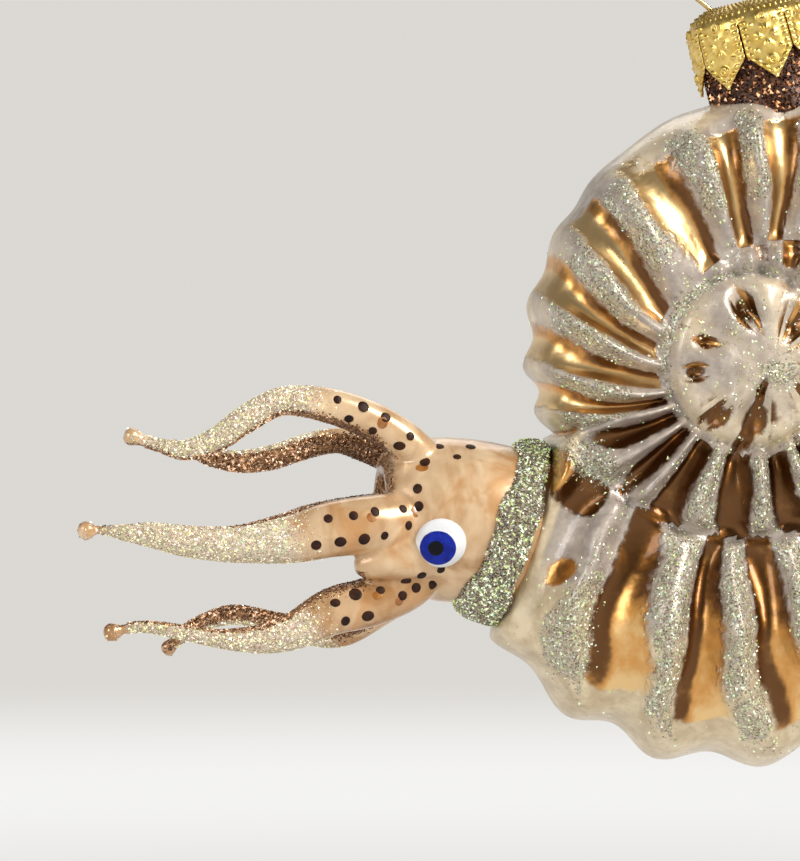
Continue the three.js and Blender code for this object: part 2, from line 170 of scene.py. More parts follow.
class Value:
    # wraps a socket, so that sums on shader values read as Python

    def __init__(self, tree, socket):
        self.tree = tree
        self.socket = socket

    def node(self, kind, settings=None, inputs=None, output=0):
        # any node: its settings first, then the values or links of its sockets
        made = self.tree.nodes.new(kind)
        for key, value in (settings or {}).items():
            if key == "stops":
                self.setStops(made.color_ramp, value)
            else:
                setattr(made, key, value)
        for key, value in (inputs or {}).items():
            if isinstance(value, Value):
                self.tree.links.new(value.socket, made.inputs[key])
            else:
                made.inputs[key].default_value = value
        return Value(self.tree, made.outputs[output])

    def setStops(self, colourRamp, stops):
        # the ramp gets one element for each place and colour
        while len(colourRamp.elements) < len(stops):
            colourRamp.elements.new(0.5)
        for element, (place, colour) in zip(colourRamp.elements, stops):
            element.position = place
            element.color = (*colour, 1)

    def sum(self, operation, first, second):
        # one Math node on two values or numbers
        return self.node("ShaderNodeMath", {"operation": operation}, {0: first, 1: second})

    def __add__(self, other):
        return self.sum("ADD", self, other)

    def __radd__(self, other):
        return self.sum("ADD", other, self)

    def __sub__(self, other):
        return self.sum("SUBTRACT", self, other)

    def __rsub__(self, other):
        return self.sum("SUBTRACT", other, self)

    def __mul__(self, other):
        return self.sum("MULTIPLY", self, other)

    def __rmul__(self, other):
        return self.sum("MULTIPLY", other, self)

    def step(self, low, high):
        # 0 below low, 1 above high, smooth between them
        return self.node("ShaderNodeMapRange", {"interpolation_type": "SMOOTHSTEP"},
                         {0: self, 1: low, 2: high})

    def mix(self, first, second):
        # colour: first where this value is 0, second where it is 1
        return self.node("ShaderNodeMix", {"data_type": "RGBA"}, {0: self, 6: first, 7: second}, output=2)

    def pick(self, stops):
        # the colour that this value finds on a ramp
        return self.node("ShaderNodeValToRGB", {"stops": stops}, {0: self})

    def field(self, name):
        # a per-point field of the mesh
        return self.node("ShaderNodeAttribute", {"attribute_name": name}, output=2)

    def place(self):
        # the piece's own coordinates
        return self.node("ShaderNodeTexCoord", output=3)

    def noise(self, scale, detail=3.0, rough=0.55, distortion=0.0, stretch=None):
        # soft noise with so many waves in a metre, squeezed along the axes by stretch
        where = self.place()
        if stretch:
            where = self.node("ShaderNodeMapping", inputs={0: where, 3: stretch})
        return self.node("ShaderNodeTexNoise", inputs={
            "Vector": where, "Scale": scale, "Detail": detail, "Roughness": rough,
            "Distortion": distortion})

    def cell(self, scale):
        # one random value for each small cell
        made = self.node("ShaderNodeTexVoronoi", inputs={"Vector": self.place(), "Scale": scale}, output=1)
        return self.node("ShaderNodeSeparateColor", inputs={0: made})

    def bump(self, height, depth):
        # a normal from a height, whose full range is depth in metres
        return self.node("ShaderNodeBump", inputs={"Strength": 1.0, "Distance": depth, "Height": height})


def finish(name, build, **plain):
    # a principled material: plain values on its own sockets, and build(start) gives what varies
    material = bpy.data.materials.new(name)
    material.use_nodes = True
    tree = material.node_tree
    shader = tree.nodes["Principled BSDF"]
    for key, value in plain.items():
        shader.inputs[key.replace("_", " ")].default_value = value
    for key, value in build(Value(tree, None)).items():
        tree.links.new(value.socket, shader.inputs[key])
    return material


# shades of the glitter, by the tone of a grain from 0 to 1
frostStops = [(0.0, (0.09, 0.07, 0.06)), (0.16, (0.27, 0.21, 0.15)), (0.38, (0.49, 0.41, 0.29)),
              (0.58, (0.68, 0.60, 0.45)), (0.66, (0.28, 0.42, 0.24)), (0.73, (0.60, 0.60, 0.32)),
              (0.81, (0.40, 0.42, 0.44)), (0.89, (0.66, 0.46, 0.38)), (0.97, (0.82, 1.0, 0.74)),
              (1.0, (1.0, 1.0, 0.94))]
copperStops = [(0.0, (0.06, 0.025, 0.012)), (0.25, (0.20, 0.095, 0.04)), (0.55, (0.46, 0.25, 0.12)),
               (0.80, (0.72, 0.45, 0.24)), (0.94, (0.95, 0.70, 0.50)), (1.0, (1.0, 0.92, 0.85))]
bronzeStops = [(0.0, (0.02, 0.006, 0.002)), (0.45, (0.055, 0.018, 0.006)), (0.75, (0.17, 0.06, 0.02)),
               (0.90, (0.50, 0.21, 0.08)), (1.0, (1.0, 0.66, 0.38))]
paleStops = [(0.0, (0.40, 0.30, 0.21)), (0.3, (0.64, 0.51, 0.38)), (0.58, (0.82, 0.70, 0.56)),
             (0.70, (0.84, 0.56, 0.49)), (0.80, (0.54, 0.74, 0.44)), (0.90, (0.88, 0.78, 0.40)),
             (1.0, (1.0, 1.0, 1.0))]

# painted glints: a glow on the few grains with the highest tones, whether light falls on them or not
frostSparks = [(0.0, (0, 0, 0)), (0.875, (0, 0, 0)), (0.885, (0.05, 0.40, 0.07)), (0.935, (0.42, 0.62, 0.08)),
               (0.955, (0.12, 0.28, 0.40)), (0.97, (0.55, 0.30, 0.34)), (0.985, (0.40, 0.75, 0.45)),
               (1.0, (0.95, 1.0, 0.80))]
copperSparks = [(0.0, (0, 0, 0)), (0.93, (0, 0, 0)), (0.95, (0.50, 0.20, 0.06)), (1.0, (1.0, 0.62, 0.34))]
paleSparks = [(0.0, (0, 0, 0)), (0.90, (0, 0, 0)), (0.91, (0.16, 0.34, 0.08)), (0.95, (0.55, 0.48, 0.14)),
              (1.0, (0.8, 0.8, 0.7))]

# camera first: a long lens, turned a little to the head's side

cameraSettings = {
    "turn": math.radians(8),
    "distance": 0.9,
    "viewHeight": 0.1248,
    "aimX": -0.0492,
    "aimZ": -0.0758,
}


def addCamera(s):
    # stands back from the aim point along its own line of sight, with the view height at that distance
    data = bpy.data.cameras.new("camera")
    data.sensor_fit = "VERTICAL"
    data.sensor_height = 24
    data.lens = data.sensor_height * s["distance"] / s["viewHeight"]
    data.clip_end = 20
    camera = bpy.data.objects.new("camera", data)
    bpy.context.scene.collection.objects.link(camera)
    aim = Vector((s["aimX"], 0, s["aimZ"]))
    sight = Vector((math.sin(s["turn"]), math.cos(s["turn"]), 0))
    camera.location = aim - sight * s["distance"]
    camera.rotation_euler = sight.to_track_quat("-Z", "Y").to_euler()
    bpy.context.scene.camera = camera


addCamera(cameraSettings)
print("camera is set")


# the coiled shell, mould-blown in two halves that mirror each other
# angles are in degrees from +X towards +Z, growing from the mouth back into the coil

shellLow, shellHigh = corners("glass_shell")

shell = {
    # the coil's middle and its outline
    "centreX": shellHigh[0] - 48.6,
    "centreZ": shellLow[2] + 60.2,
    "widestRadius": 58.9,
    "widestAngle": 267.0,
    "coilRate": 0.0023,
    "mouthNarrowing": 0.06,    # share of the widest radius lost over the mouth's span
    "mouthSpan": 41.0,
    "cheekRise": 1.9,          # the cheek is the swelling over the head
    "cheekAngle": 550.0,
    "cheekSpan": 35.0,
    "notchAngle": 201.5,       # where the outer turn ends against the inner one
    "lipTop": (-27.1, -76.9),
    "lipBottom": (-35.8, -105.3),
    # the boss in the middle, and half thicknesses
    "bossRadius": 12.5,
    "bossMiddle": (-2.4, -0.3),  # beside the coil's middle
    "bossHeight": 15.8,
    "seamHeight": 13.2,
    "halfDepth": shellHigh[1] - 2.2,
    "mouthHalfDepth": 14.0,
    # ribs: how far they stand up, and the angles of their crests at the rim
    "relief": 2.3,
    "bodyRelief": 2.9,
    "crestPlace": 0.55,
    "ribs": [225, 241.6, 255.9, 271.8, 287.5, 303, 318.5, 334.5, 351, 368.2, 385.5, 402.9, 420.2, 437.5,
             453.6, 468.7, 491.9, 507.7, 526, 542, 554, 572, 587, 607, 630, 650],
    "ribSpacing": 17.3,
    # angle at the rim and the degrees its rib has turned at its inner end
    "bends": [(200, 18.5), (231, 18.5), (240, 15), (249, 10.5), (257, 14), (275, 14), (345, 0), (484, 0),
              (494, -5), (518, -21), (556, -18), (574, -5), (592, 8), (650, 8), (720, 0)],
    "columns": 480,
    "rings": 100,
    # frost on the boss: its share, then x and width, z and height from the coil's middle
    "frostPatches": [(0.9, 0.8, 3.6, -2.0, 2.0), (0.4, -4.8, 2.4, 4.4, 2.4), (0.4, 6.5, 2.4, 4, 3)],
    # pits of the boss: angle, distance from the coil's middle and size
    "pits": [(120, 7.9, 1.6), (168, 10.0, 0.9), (190, 11.4, 1.2), (225, 11.6, 1.5), (255, 9.2, 2.3),
             (250, 5.0, 0.9), (318, 7.6, 1.6), (2, 7.4, 1.5), (55, 5.6, 1.5)],
}


def ribPhase(angle):
    # whole numbers on the ribs: the listed ones first, evenly spaced ones further into the coil
    last = shell["ribs"][-1]
    ribs = shell["ribs"] + [last + shell["ribSpacing"] * n for n in range(1, 30)]
    return np.interp(angle, ribs, np.arange(len(ribs)))


def ribBend(angle, inward):
    # degrees a rib has turned on its way in: turn * sqrt(inward) forwards, turn * inward backwards
    places, turns = np.array(shell["bends"]).T
    bend = np.interp(angle, places, turns)
    return np.where(bend > 0, bend * np.sqrt(inward), bend * inward)


def coilRadius(angle):
    # widest * e^(-rate * back), with a cheek over the head, and slightly narrowed towards the mouth
    back = angle - shell["widestAngle"]
    cheek = shell["cheekRise"] * bell(angle, shell["cheekAngle"], shell["cheekSpan"])
    coiled = shell["widestRadius"] * np.exp(-shell["coilRate"] * back) + cheek
    mouth = shell["widestRadius"] * (1 - shell["mouthNarrowing"] * (back / shell["mouthSpan"]) ** 2)
    return np.where(back < 0, mouth, coiled)


def lipRadius(angle):
    # where a ray from the coil's centre crosses the straight lip of the mouth
    x, z = shell["lipTop"][0] - shell["centreX"], shell["lipTop"][1] - shell["centreZ"]
    alongX = shell["lipBottom"][0] - shell["lipTop"][0]
    alongZ = shell["lipBottom"][1] - shell["lipTop"][1]
    rayX, rayZ = np.cos(np.radians(angle)), np.sin(np.radians(angle))
    return (x * alongZ - z * alongX) / (rayX * alongZ - rayZ * alongX)


def bossRim(angle):
    # where a ray from the coil's centre crosses the boss, whose own middle lies a little aside
    x, z = shell["bossMiddle"]
    along = x * np.cos(np.radians(angle)) + z * np.sin(np.radians(angle))
    return along + np.sqrt(shell["bossRadius"] ** 2 - x * x - z * z + along ** 2)


def rimRadius(angle):
    # the coil with a scallop on each rib, deepest below the mouth
    wave = np.cos(2 * np.pi * ribPhase(angle))
    scallop = 0.12 + 1.15 * bell(angle, 255, 45) + 0.75 * bell(angle, 545, 38) + 0.5 * bell(angle, 350, 60)
    return coilRadius(angle) + scallop * wave


def edgeRadius(angle):
    # the outline: the lip in front of the mouth, elsewhere the scalloped rim
    lip = np.where(angle < shell["widestAngle"] - shell["mouthSpan"] + 1, lipRadius(angle), np.inf)
    return np.minimum(rimRadius(angle), lip)


def crestDepth(angle):
    # half the outer turn's thickness: it grows with the root of the coil's radius
    back = angle - shell["widestAngle"]
    opening = shell["halfDepth"] * (1 - 0.25 * (back / shell["mouthSpan"]) ** 2)
    coiled = shell["halfDepth"] * np.sqrt(coilRadius(angle) / shell["widestRadius"])
    return np.where(back < 0, np.maximum(shell["mouthHalfDepth"], opening), coiled)


def shellSurface(angle, radius):
    # height of the shell's face over its middle plane, with the fields that its paint follows
    rim = rimRadius(angle)
    edge = edgeRadius(angle)
    bossEdge = bossRim(angle)
    seam = np.maximum(coilRadius(angle + 360), bossEdge)
    inward = np.clip((rim - radius) / (rim - seam), 0, 1)
    crest = crestDepth(angle)
    rise = np.sqrt(np.clip(1 - np.clip(1 - inward / shell["crestPlace"], 0, 1) ** 2.4, 0, 1))
    outer = np.where(inward < shell["crestPlace"], crest * rise,
                     blend(crest, shell["seamHeight"], ramp(inward, shell["crestPlace"], 1)))
    across = np.clip((seam - radius) / np.maximum(seam - bossEdge, 0.1), 0, 1)
    room = np.clip((seam - bossEdge) / 9, 0, 1)
    inner = shell["seamHeight"] + 1.8 * room * np.sin(np.pi * across)
    dome = np.sqrt(np.clip(1 - (radius / bossEdge) ** 2, 0, 1))
    boss = blend(shell["seamHeight"], shell["bossHeight"], dome)
    lobes = np.cos(np.radians(8 * angle - 20) + 0.5 * np.sin(np.radians(3 * angle)))
    boss = boss + 0.55 * lobes * ramp(radius, 3.0, 8.0) * ramp(radius, 13.0, 10.5)
    onOuter, onBoss = radius >= seam, radius < bossEdge
    height = np.where(onOuter, outer, np.where(onBoss, boss, inner))

    # ribs turn as they run in from the rim, and the inner turn goes on with ribs of its own
    phase = np.where(onOuter, ribPhase(angle + ribBend(angle, inward)),
                     ribPhase(angle + 360 + ribBend(angle + 360, across)))
    phase = phase + 0.035 * np.sin(0.33 * radius + 0.21 * angle) * ramp(inward, 0, 0.3)
    rib = 0.5 + 0.5 * np.cos(2 * np.pi * phase + 0.45 * np.sin(2 * np.pi * phase))
    stroke = 0.5 + 0.5 * np.cos(2 * np.pi * (phase - 0.07))  # the brush keeps to each rib's shaded side
    outerEnds = ramp(inward, 0.02, 0.2) * ramp(inward, 1.0, 0.93)
    innerEnds = ramp(across, 0, 0.12) * ramp(across, 1.0, 0.85) * room
    ends = np.where(onOuter, outerEnds, np.where(onBoss, 0, innerEnds))
    outerRelief = blend(shell["relief"], shell["bodyRelief"], ramp(rim, 38, 58))
    swell = np.sqrt(np.sin(np.pi * np.clip(0.08 + 0.92 * inward, 0, 1)))
    relief = np.where(onOuter, outerRelief * swell, shell["relief"])
    height = height + relief * ends * (1.75 * rib ** 0.9 - 1.1)

    # grooves where the turns meet, and round the boss
    seamCut = 1.3 * bell(radius, seam, 1.0) * room * (radius > bossEdge)
    height = height - seamCut - 0.7 * bell(radius, bossEdge, 0.9)

    # pits of the boss
    x = radius * np.cos(np.radians(angle))
    z = radius * np.sin(np.radians(angle))
    pit = np.zeros_like(height)
    for pitAngle, pitRadius, size in shell["pits"]:
        px = pitRadius * math.cos(math.radians(pitAngle))
        pz = pitRadius * math.sin(math.radians(pitAngle))
        out = (x * px + z * pz) / pitRadius - pitRadius
        beside = (x * pz - z * px) / pitRadius
        pit = np.maximum(pit, np.exp(-((out / (1.5 * size)) ** 2) - (beside / size) ** 2))
    height = height - 1.5 * pit * (radius < bossEdge + 2)

    # the lip closes with a rounded edge
    height = height * np.sqrt(np.clip(1 - (radius / edge) ** 60, 0, 1))

    # paint: 1 is covered with pearl, 0 is bare gold
    rimBand = ramp(inward, 0.09, 0.03) * (1 - 0.9 * bell(angle, 540, 42))
    skirt = ramp(inward, 0.25, 0.11) * bell(angle, 262, 42)
    crown = ramp(inward, 0.30, 0.12) * bell(angle, 462, 26)
    nearMouth = ramp(angle, 236, 226) * ramp(inward, 0.9, 0.7)
    bossCover = np.where(radius < bossEdge + 1.5, 0.67 + 0.1 * lobes, 0.0) - 1.1 * pit
    paint = stroke * np.where(onOuter, blend(0.84, 1.0, ramp(inward, 0.3, 0.7)), 0.92)
    paint = np.maximum.reduce([paint, rimBand, skirt, crown, nearMouth * 0.75, bossCover])
    paint = np.where(onOuter | onBoss, paint, np.maximum(paint, 1 - room))
    copperTriangle = bell(radius, 33, 4.5) * bell(angle, 209, 7.5)
    window = bell(radius, 43.0, 2.3) * bell(angle, 225.0, 2.4) ** 2
    cuff = bell(radius, seam - 1.2, 2.6) * bell(angle, 211, 9) * room
    lobe = bell(radius, 35, 5) * bell(angle, 226, 4.5)
    paint = np.where(pit > 0.25, np.minimum(paint, 1 - 0.9 * pit), paint)
    paint = paint + 0.6 * lobe - 1.3 * copperTriangle * (radius > seam) - 1.0 * window + 1.2 * cuff
    ringPaint = bell(radius, bossEdge + 0.8, 1.3) * ramp(np.cos(np.radians(angle - 80)), -0.5, 0.1)
    paint = np.maximum(paint, ringPaint)
    # painted shade and amber: the dark field makes the gold deep brown on the side of each groove away from
    # the window light, in the pits and towards the seam, and where amber lacquer lies thick on the body turn
    shaded = 0.5 + 0.5 * np.sin(2 * np.pi * phase - 0.5)  # the side of each groove away from the window
    body = ramp(rim, 44, 56)
    dark = ramp(shaded, 0.45, 0.95) * 0.85 + ramp(inward, 0.45, 1.0) * blend(0.35, 0.95, body)
    dark = dark + 0.45 * body * ramp(inward, 0.1, 0.3) + pit * 0.5 - 0.25 * ramp(inward, 0.35, 0.1)
    dark = dark - 0.5 * copperTriangle + 0.3 * window
    dark = np.clip(np.where(onOuter, dark, dark * 0.8 + 0.25), 0, 1)
    cream = body * ramp(inward, 0.75, 0.1) + 0.45 * onBoss + 0.5 * ramp(inward, 0.3, 0)
    cream = np.clip(cream + ramp(lipRadius(angle) - radius, 5, 2) * ramp(angle, 231, 222), 0, 1)

    # frost: where loose glitter lies, mostly on the outer part of each rib's crest
    crest = ramp(stroke, 0.46, 0.74) * ramp(inward, 0.02, 0.16) * ramp(angle, 222, 236)
    reach = np.where(onOuter, blend(ramp(inward, 0.85, 0.6), ramp(inward, 1.0, 0.9), body), ends)
    streak = 0.5 + 0.5 * np.sin(0.9 * angle + 0.7 * radius) * np.sin(0.31 * radius + 0.13 * angle)
    frost = crest * reach * blend(0.45, 1.0, streak)
    patch = 0
    for share, acrossX, wide, acrossZ, high in shell["frostPatches"]:
        patch = patch + share * bell(x, acrossX, wide) * bell(z, acrossZ, high)
    ringFrost = bell(radius, bossEdge + 0.4, 0.9) * (0.45 + 0.4 * np.sin(np.radians(angle) * 2 + 2.6))
    frost = np.where(onBoss, 0.05 + patch, frost) + ringFrost
    frost = frost + 0.35 * bell(radius, seam + 1.2, 1.3) * ramp(stroke, 0.5, 0.8)
    frost = frost + 1.0 * bell(radius, 50, 5.5) * bell(angle, 232.5, 4.5) * ramp(stroke, 0.1, 0.4) + cuff
    return height, {"paint": paint, "dark": dark, "cream": cream, "frost": np.clip(frost, 0, 1)}


def shellPoint(angle, radius, height, side):
    # polar place on the coil's plane, with the height to the near side (-1) or the far side (+1)
    return np.stack([shell["centreX"] + radius * np.cos(np.radians(angle)), side * height,
                     shell["centreZ"] + radius * np.sin(np.radians(angle))], -1)


def buildShell():
    # rings of both faces in one closed skin: near pole, near rings, rim, far rings, far pole
    u = np.linspace(0, 1, shell["rings"])
    outward = 0.6 * u + 0.4 * np.sin(np.pi / 2 * u)
    angle = shell["notchAngle"] + 360 * np.arange(shell["columns"])[None, :] / shell["columns"]
    radius = outward[:, None] * edgeRadius(angle)
    height, fields = shellSurface(angle + 0 * radius, radius)
    height[-1] = 0
    near = shellPoint(angle, radius, height, -1)
    far = shellPoint(angle, radius, height, 1)
    rows = np.concatenate([near, far[-2::-1]])
    bothFaces = {name: ballField(np.concatenate([v, v[-2::-1]])) for name, v in fields.items()}
    return meshPiece("shellGlass", *ballGrid(rows), bothFaces)


def shellFinish(v):
    # gold silvering under ragged strokes of pearl lacquer, with glitter on the crests; the gold turns deep
    # brown by painted shade and where amber lies thick
    cloud = v.noise(160, 3)
    ragged = v.noise(750, 3, 0.5)
    cover = (v.field("paint") + (ragged - 0.5) * 0.4 + (cloud - 0.5) * 0.45).step(0.36, 0.60)
    # painted shade and thick amber: honey gold darkens to deep brown where the dark field is high
    shadeAndAmber = (v.field("dark") + (v.noise(240, 3, 0.6) - 0.5) * 0.9).step(0.05, 1.05)
    honey = shadeAndAmber.step(0.0, 0.5).mix((0.86, 0.60, 0.28, 1), (0.72, 0.36, 0.10, 1))
    gold = shadeAndAmber.step(0.45, 1.0).mix(honey, (0.14, 0.055, 0.011, 1))
    lilac = v.noise(420, 3, 0.6).step(0.35, 0.7).mix((0.36, 0.30, 0.26, 1), (0.54, 0.47, 0.40, 1))
    ivory = v.noise(300, 3, 0.6).step(0.3, 0.7).mix((0.56, 0.44, 0.27, 1), (0.80, 0.67, 0.46, 1))
    pearl = (v.field("cream") + (v.noise(110, 2) - 0.5) * 1.5).step(0.1, 0.8).mix(lilac, ivory)
    lacquered = cover.mix(gold, pearl)
    frosted = (v.field("frost") + (v.noise(1300, 2) - 0.5) * 0.8).step(0.42, 0.62)
    grain = v.cell(3600)
    lumps = ragged * cover * 0.3 + v.noise(330, 2) * 0.5 + cover * 0.4 + grain * frosted * 0.5
    return {
        "Base Color": (frosted * 0.8).mix(lacquered, grain.pick(frostStops)),
        "Metallic": 1.0 - cover * 0.8,
        "Roughness": 0.33 + cover * 0.06 + (cloud - 0.5) * 0.16,
        "Normal": v.bump(lumps, 0.00035),
    }


settle(buildShell(), finish("pearlAndGold", shellFinish, Coat_Weight=0.45, Coat_Roughness=0.1),
       "shell_glass", "glass_shell")
print("shell is built")


# grains: loose glitter, each grain a small closed pyramid lying on its surface

def grains(name, centres, normals, size, tone, flatness=0.5, jitter=0.45, sink=0.25):
    # base corners centre + s (cos a * e1 + sin a * e2) at thirds of a turn, top at s * flatness
    count = len(centres)
    lean = unit(normals + jitter * rng.normal(size=(count, 3)))
    helper = np.where(np.abs(lean[:, 2:3]) < 0.8, [[0.0, 0.0, 1.0]], [[1.0, 0.0, 0.0]])
    first = unit(np.cross(lean, helper))
    second = np.cross(lean, first)
    # bright grains are larger
    size = size * rng.uniform(0.65, 1.25, count) * np.where(tone > 0.88, 1.45, 1.0)
    turn = rng.uniform(0, 2 * np.pi, (count, 1)) + np.arange(3) * 2 * np.pi / 3
    base = (centres - lean * (size * sink * flatness)[:, None])[:, None] + size[:, None, None] * (
        np.cos(turn)[..., None] * first[:, None] + np.sin(turn)[..., None] * second[:, None])
    top = centres + lean * (size * flatness)[:, None]
    points = np.concatenate([base, top[:, None]], 1).reshape(-1, 3)
    start = 4 * np.arange(count)[:, None, None]
    tris = start + np.array([[0, 2, 1], [0, 1, 3], [1, 2, 3], [2, 0, 3]])
    return meshPiece(name, points, None, tris.reshape(-1, 3), {"tone": np.repeat(tone, 4)}, smooth=False)


def grainFinish(stops, sparks):
    # each grain's own tone picks its colour and its spark, a painted glint that glows, from the ramps
    def build(v):
        tone = v.field("tone")
        return {"Base Color": tone.pick(stops),
                "Emission Color": tone.pick(sparks),
                "Roughness": 0.12 + tone * 0.25}
    return build


frostGlitter = finish("frostGlitter", grainFinish(frostStops, frostSparks), Metallic=0.45, Coat_Weight=0.4,
                      Emission_Strength=0.75)
copperGlitter = finish("copperGlitter", grainFinish(copperStops, copperSparks), Metallic=0.7, Coat_Weight=0.3,
                       Emission_Strength=0.7)
bronzeGlitter = finish("bronzeGlitter", grainFinish(bronzeStops, copperSparks), Metallic=0.7, Coat_Weight=0.3,
                       Emission_Strength=0.8)

shellGlitter = {"tries": 240000, "most": 49000, "size": 0.19, "reach": 60, "slopeStep": 0.15}


def buildShellGlitter(s):
    # random places spread evenly over both faces, kept as often as the frost field says
    angle = shell["notchAngle"] + 360 * rng.random(s["tries"])
    radius = s["reach"] * np.sqrt(rng.random(s["tries"]))
    inside = radius < edgeRadius(angle) * 0.985
    angle, radius = angle[inside], radius[inside]
    height, f = shellSurface(angle, radius)
    keep = rng.random(len(angle)) < f["frost"] * 0.9 + 0.03 * (f["paint"] > 0.4)
    angle, radius, height, frost = [a[keep][:s["most"]] for a in (angle, radius, height, f["frost"])]
    farther = radius + s["slopeStep"]
    turned = angle + np.degrees(s["slopeStep"] / np.maximum(radius, 1))
    side = np.where(rng.random(len(angle)) < 0.5, -1.0, 1.0)
    here = shellPoint(angle, radius, height, side)
    outward = shellPoint(angle, farther, shellSurface(angle, farther)[0], side) - here
    onward = shellPoint(turned, radius, shellSurface(turned, radius)[0], side) - here
    normal = unit(np.cross(outward, onward)) * -side[:, None]
    normal = normal * np.where(normal[:, 1:2] * side[:, None] < 0, -1.0, 1.0)
    print("shell grains", len(here))
    tone = rng.random(len(here))
    tone = np.where(frost < 0.3, 0.55 + 0.45 * tone, tone)  # only pale grains stray away from the ribs
    return grains("shellGlitter", here, normal, s["size"], tone)


settle(buildShellGlitter(shellGlitter), frostGlitter, "shell_glass", "glass_shell")


# head: oval sections from the shell's mouth to the rim round the mouth, which turns inwards

head = {
    "sections": [
        (-30.6, -91.1, 11.6, 11.3, 17), (-34.6, -89.9, 12.0, 11.7, 22), (-38.6, -89.2, 12.2, 12.0, 20),
        (-42.0, -88.7, 12.0, 11.8, 12), (-45.4, -88.3, 11.5, 11.4, 5), (-48.6, -88.2, 10.5, 10.5, 0),
        (-51.0, -88.2, 9.0, 9.2, 0), (-52.2, -88.2, 7.4, 7.6, 0), (-51.6, -88.2, 6.0, 6.2, 0),
        (-49.0, -88.2, 4.6, 4.8, 0), (-46.5, -88.2, 3.0, 3.0, 0),
    ],
    "rows": 90,
    "around": 120,
}


def ovalRows(sections, t, around):
    # x, z, half height, half depth and tilt run smoothly through the sections
    x, z, high, deep, tilt = np.moveaxis(through(sections, t), -1, 0)[:, :, None]
    turn = np.linspace(0, 2 * np.pi, around, endpoint=False)[None, :]
    up = high * np.cos(turn)
    lean = np.radians(tilt)
    return np.stack([x + up * np.sin(lean), -deep * np.sin(turn) + 0 * up, z + up * np.cos(lean)], -1)


def headRows():
    # the sections in rows, closed by the middle of the first and of the last
    rows = ovalRows(head["sections"], np.linspace(0, 1, head["rows"]), head["around"])
    first = np.broadcast_to(rows[0].mean(0), rows[0].shape)
    last = np.broadcast_to(rows[-1].mean(0), rows[-1].shape)
    return np.concatenate([first[None], rows, last[None]])


# arms: x, y, z and radius along each centreline, the last row is the middle of the ball at the tip

arms = {
    "arm_upper_near": [
        (-45.0, -3.0, -82.0, 3.2), (-48.5, -4.8, -78.0, 2.9), (-53.5, -5.5, -74.7, 2.75),
        (-60.3, -6.0, -72.2, 2.5), (-67.2, -6.0, -71.6, 2.0), (-72.7, -5.8, -74.4, 1.95),
        (-76.4, -5.6, -77.0, 1.75),
        (-81.0, -5.5, -78.6, 1.4), (-84.8, -5.5, -77.9, 0.95), (-88.8, -5.5, -76.7, 1.35)],
    "arm_upper_far": [
        (-45.0, 3.0, -83.0, 2.8), (-50.0, 5.4, -79.6, 2.4), (-54.2, 6.0, -78.0, 2.1),
        (-57.6, 6.6, -77.2, 1.85), (-62.0, 7.0, -78.1, 1.75),
        (-67.0, 7.0, -79.7, 1.75), (-71.4, 6.8, -80.3, 1.6), (-75.6, 6.5, -79.8, 1.3),
        (-79.0, 6.2, -78.7, 0.95), (-81.6, 6.0, -78.2, 1.2)],
    "arm_middle_near": [
        (-44.0, -3.0, -88.4, 3.4), (-49.0, -6.6, -88.7, 4.0), (-54.8, -9.0, -89.3, 4.2),
        (-60.5, -9.8, -90.0, 4.0), (-66.0, -10.0, -91.3, 3.45),
        (-73.4, -9.8, -92.1, 2.6), (-80.7, -9.4, -91.7, 2.25), (-86.4, -9.0, -90.7, 1.75),
        (-90.0, -8.8, -90.4, 1.15), (-93.2, -8.6, -90.0, 0.65), (-95.6, -8.5, -90.1, 1.4)],
    "arm_middle_far": [
        (-44.0, 3.0, -88.4, 3.4), (-49.0, 6.6, -88.7, 3.9), (-54.0, 9.0, -89.2, 3.9),
        (-60.0, 10.0, -89.9, 3.5), (-65.5, 10.3, -91.0, 2.85),
        (-71.5, 10.2, -91.8, 2.15), (-77.5, 9.8, -91.5, 1.55), (-81.0, 9.5, -91.0, 1.0),
        (-83.6, 9.3, -90.8, 1.2)],
    "arm_lower_near": [
        (-44.0, -2.5, -93.0, 3.4), (-48.5, -4.8, -97.6, 3.8), (-54.2, -6.0, -100.4, 3.6),
        (-59.9, -6.6, -101.8, 3.4), (-65.4, -7.0, -104.5, 2.7),
        (-70.6, -7.0, -105.7, 2.05), (-76.6, -6.8, -105.6, 1.3), (-82.1, -6.6, -104.6, 1.05),
        (-87.8, -6.5, -103.9, 0.8), (-91.7, -6.5, -104.7, 1.4)],
    "arm_lower_far": [
        (-44.0, 2.5, -93.5, 3.0), (-48.0, 5.0, -98.8, 2.9), (-52.4, 6.0, -102.4, 2.6),
        (-57.0, 6.6, -105.1, 2.3), (-62.2, 7.0, -105.0, 1.9),
        (-67.4, 7.0, -103.6, 1.5), (-73.0, 6.8, -102.6, 1.4), (-78.2, 6.5, -104.2, 1.15),
        (-80.9, 6.2, -106.1, 0.95), (-82.3, 6.0, -107.4, 1.2)],
}
armShape = {"rows": 110, "around": 40, "mouthZ": -88.2}


def armPath(rows):
    # centreline and radius; the last radius is a ball, and the arm thins into a neck before it
    knots = np.array(rows, float)
    ball = knots[-1, 3]
    knots[-1, :3] += unit(knots[-1, :3] - knots[-2, :3]) * ball
    knots[-1, 3] = knots[-2, 3] * 0.9
    t = np.linspace(0, 1, 600)
    curve = through(knots, t)
    travelled = np.concatenate([[0], np.cumsum(np.linalg.norm(np.diff(curve[:, :3], axis=0), axis=1))])
    length = travelled[-1]
    even = np.linspace(0, 1, armShape["rows"]) ** 0.92 * length
    curve = np.stack([np.interp(even, travelled, curve[:, i]) for i in range(4)], -1)
    toEnd = length - even
    bead = np.sqrt(np.clip(ball ** 2 - (toEnd - ball) ** 2, 0, None))
    radius = np.where(toEnd < ball, bead, np.maximum(bead, curve[:, 3]))
    radius[-1] = 0
    return curve[:, :3], radius, even / length


def armRows(path, radius):
    # round sections along the arm, closed at its root and at its tip
    rows, ring = tubeRows(path, radius, armShape["around"], (0, 0, 1))
    rows[0] = path[0]
    rows[-1] = path[-1]
    return rows, ring


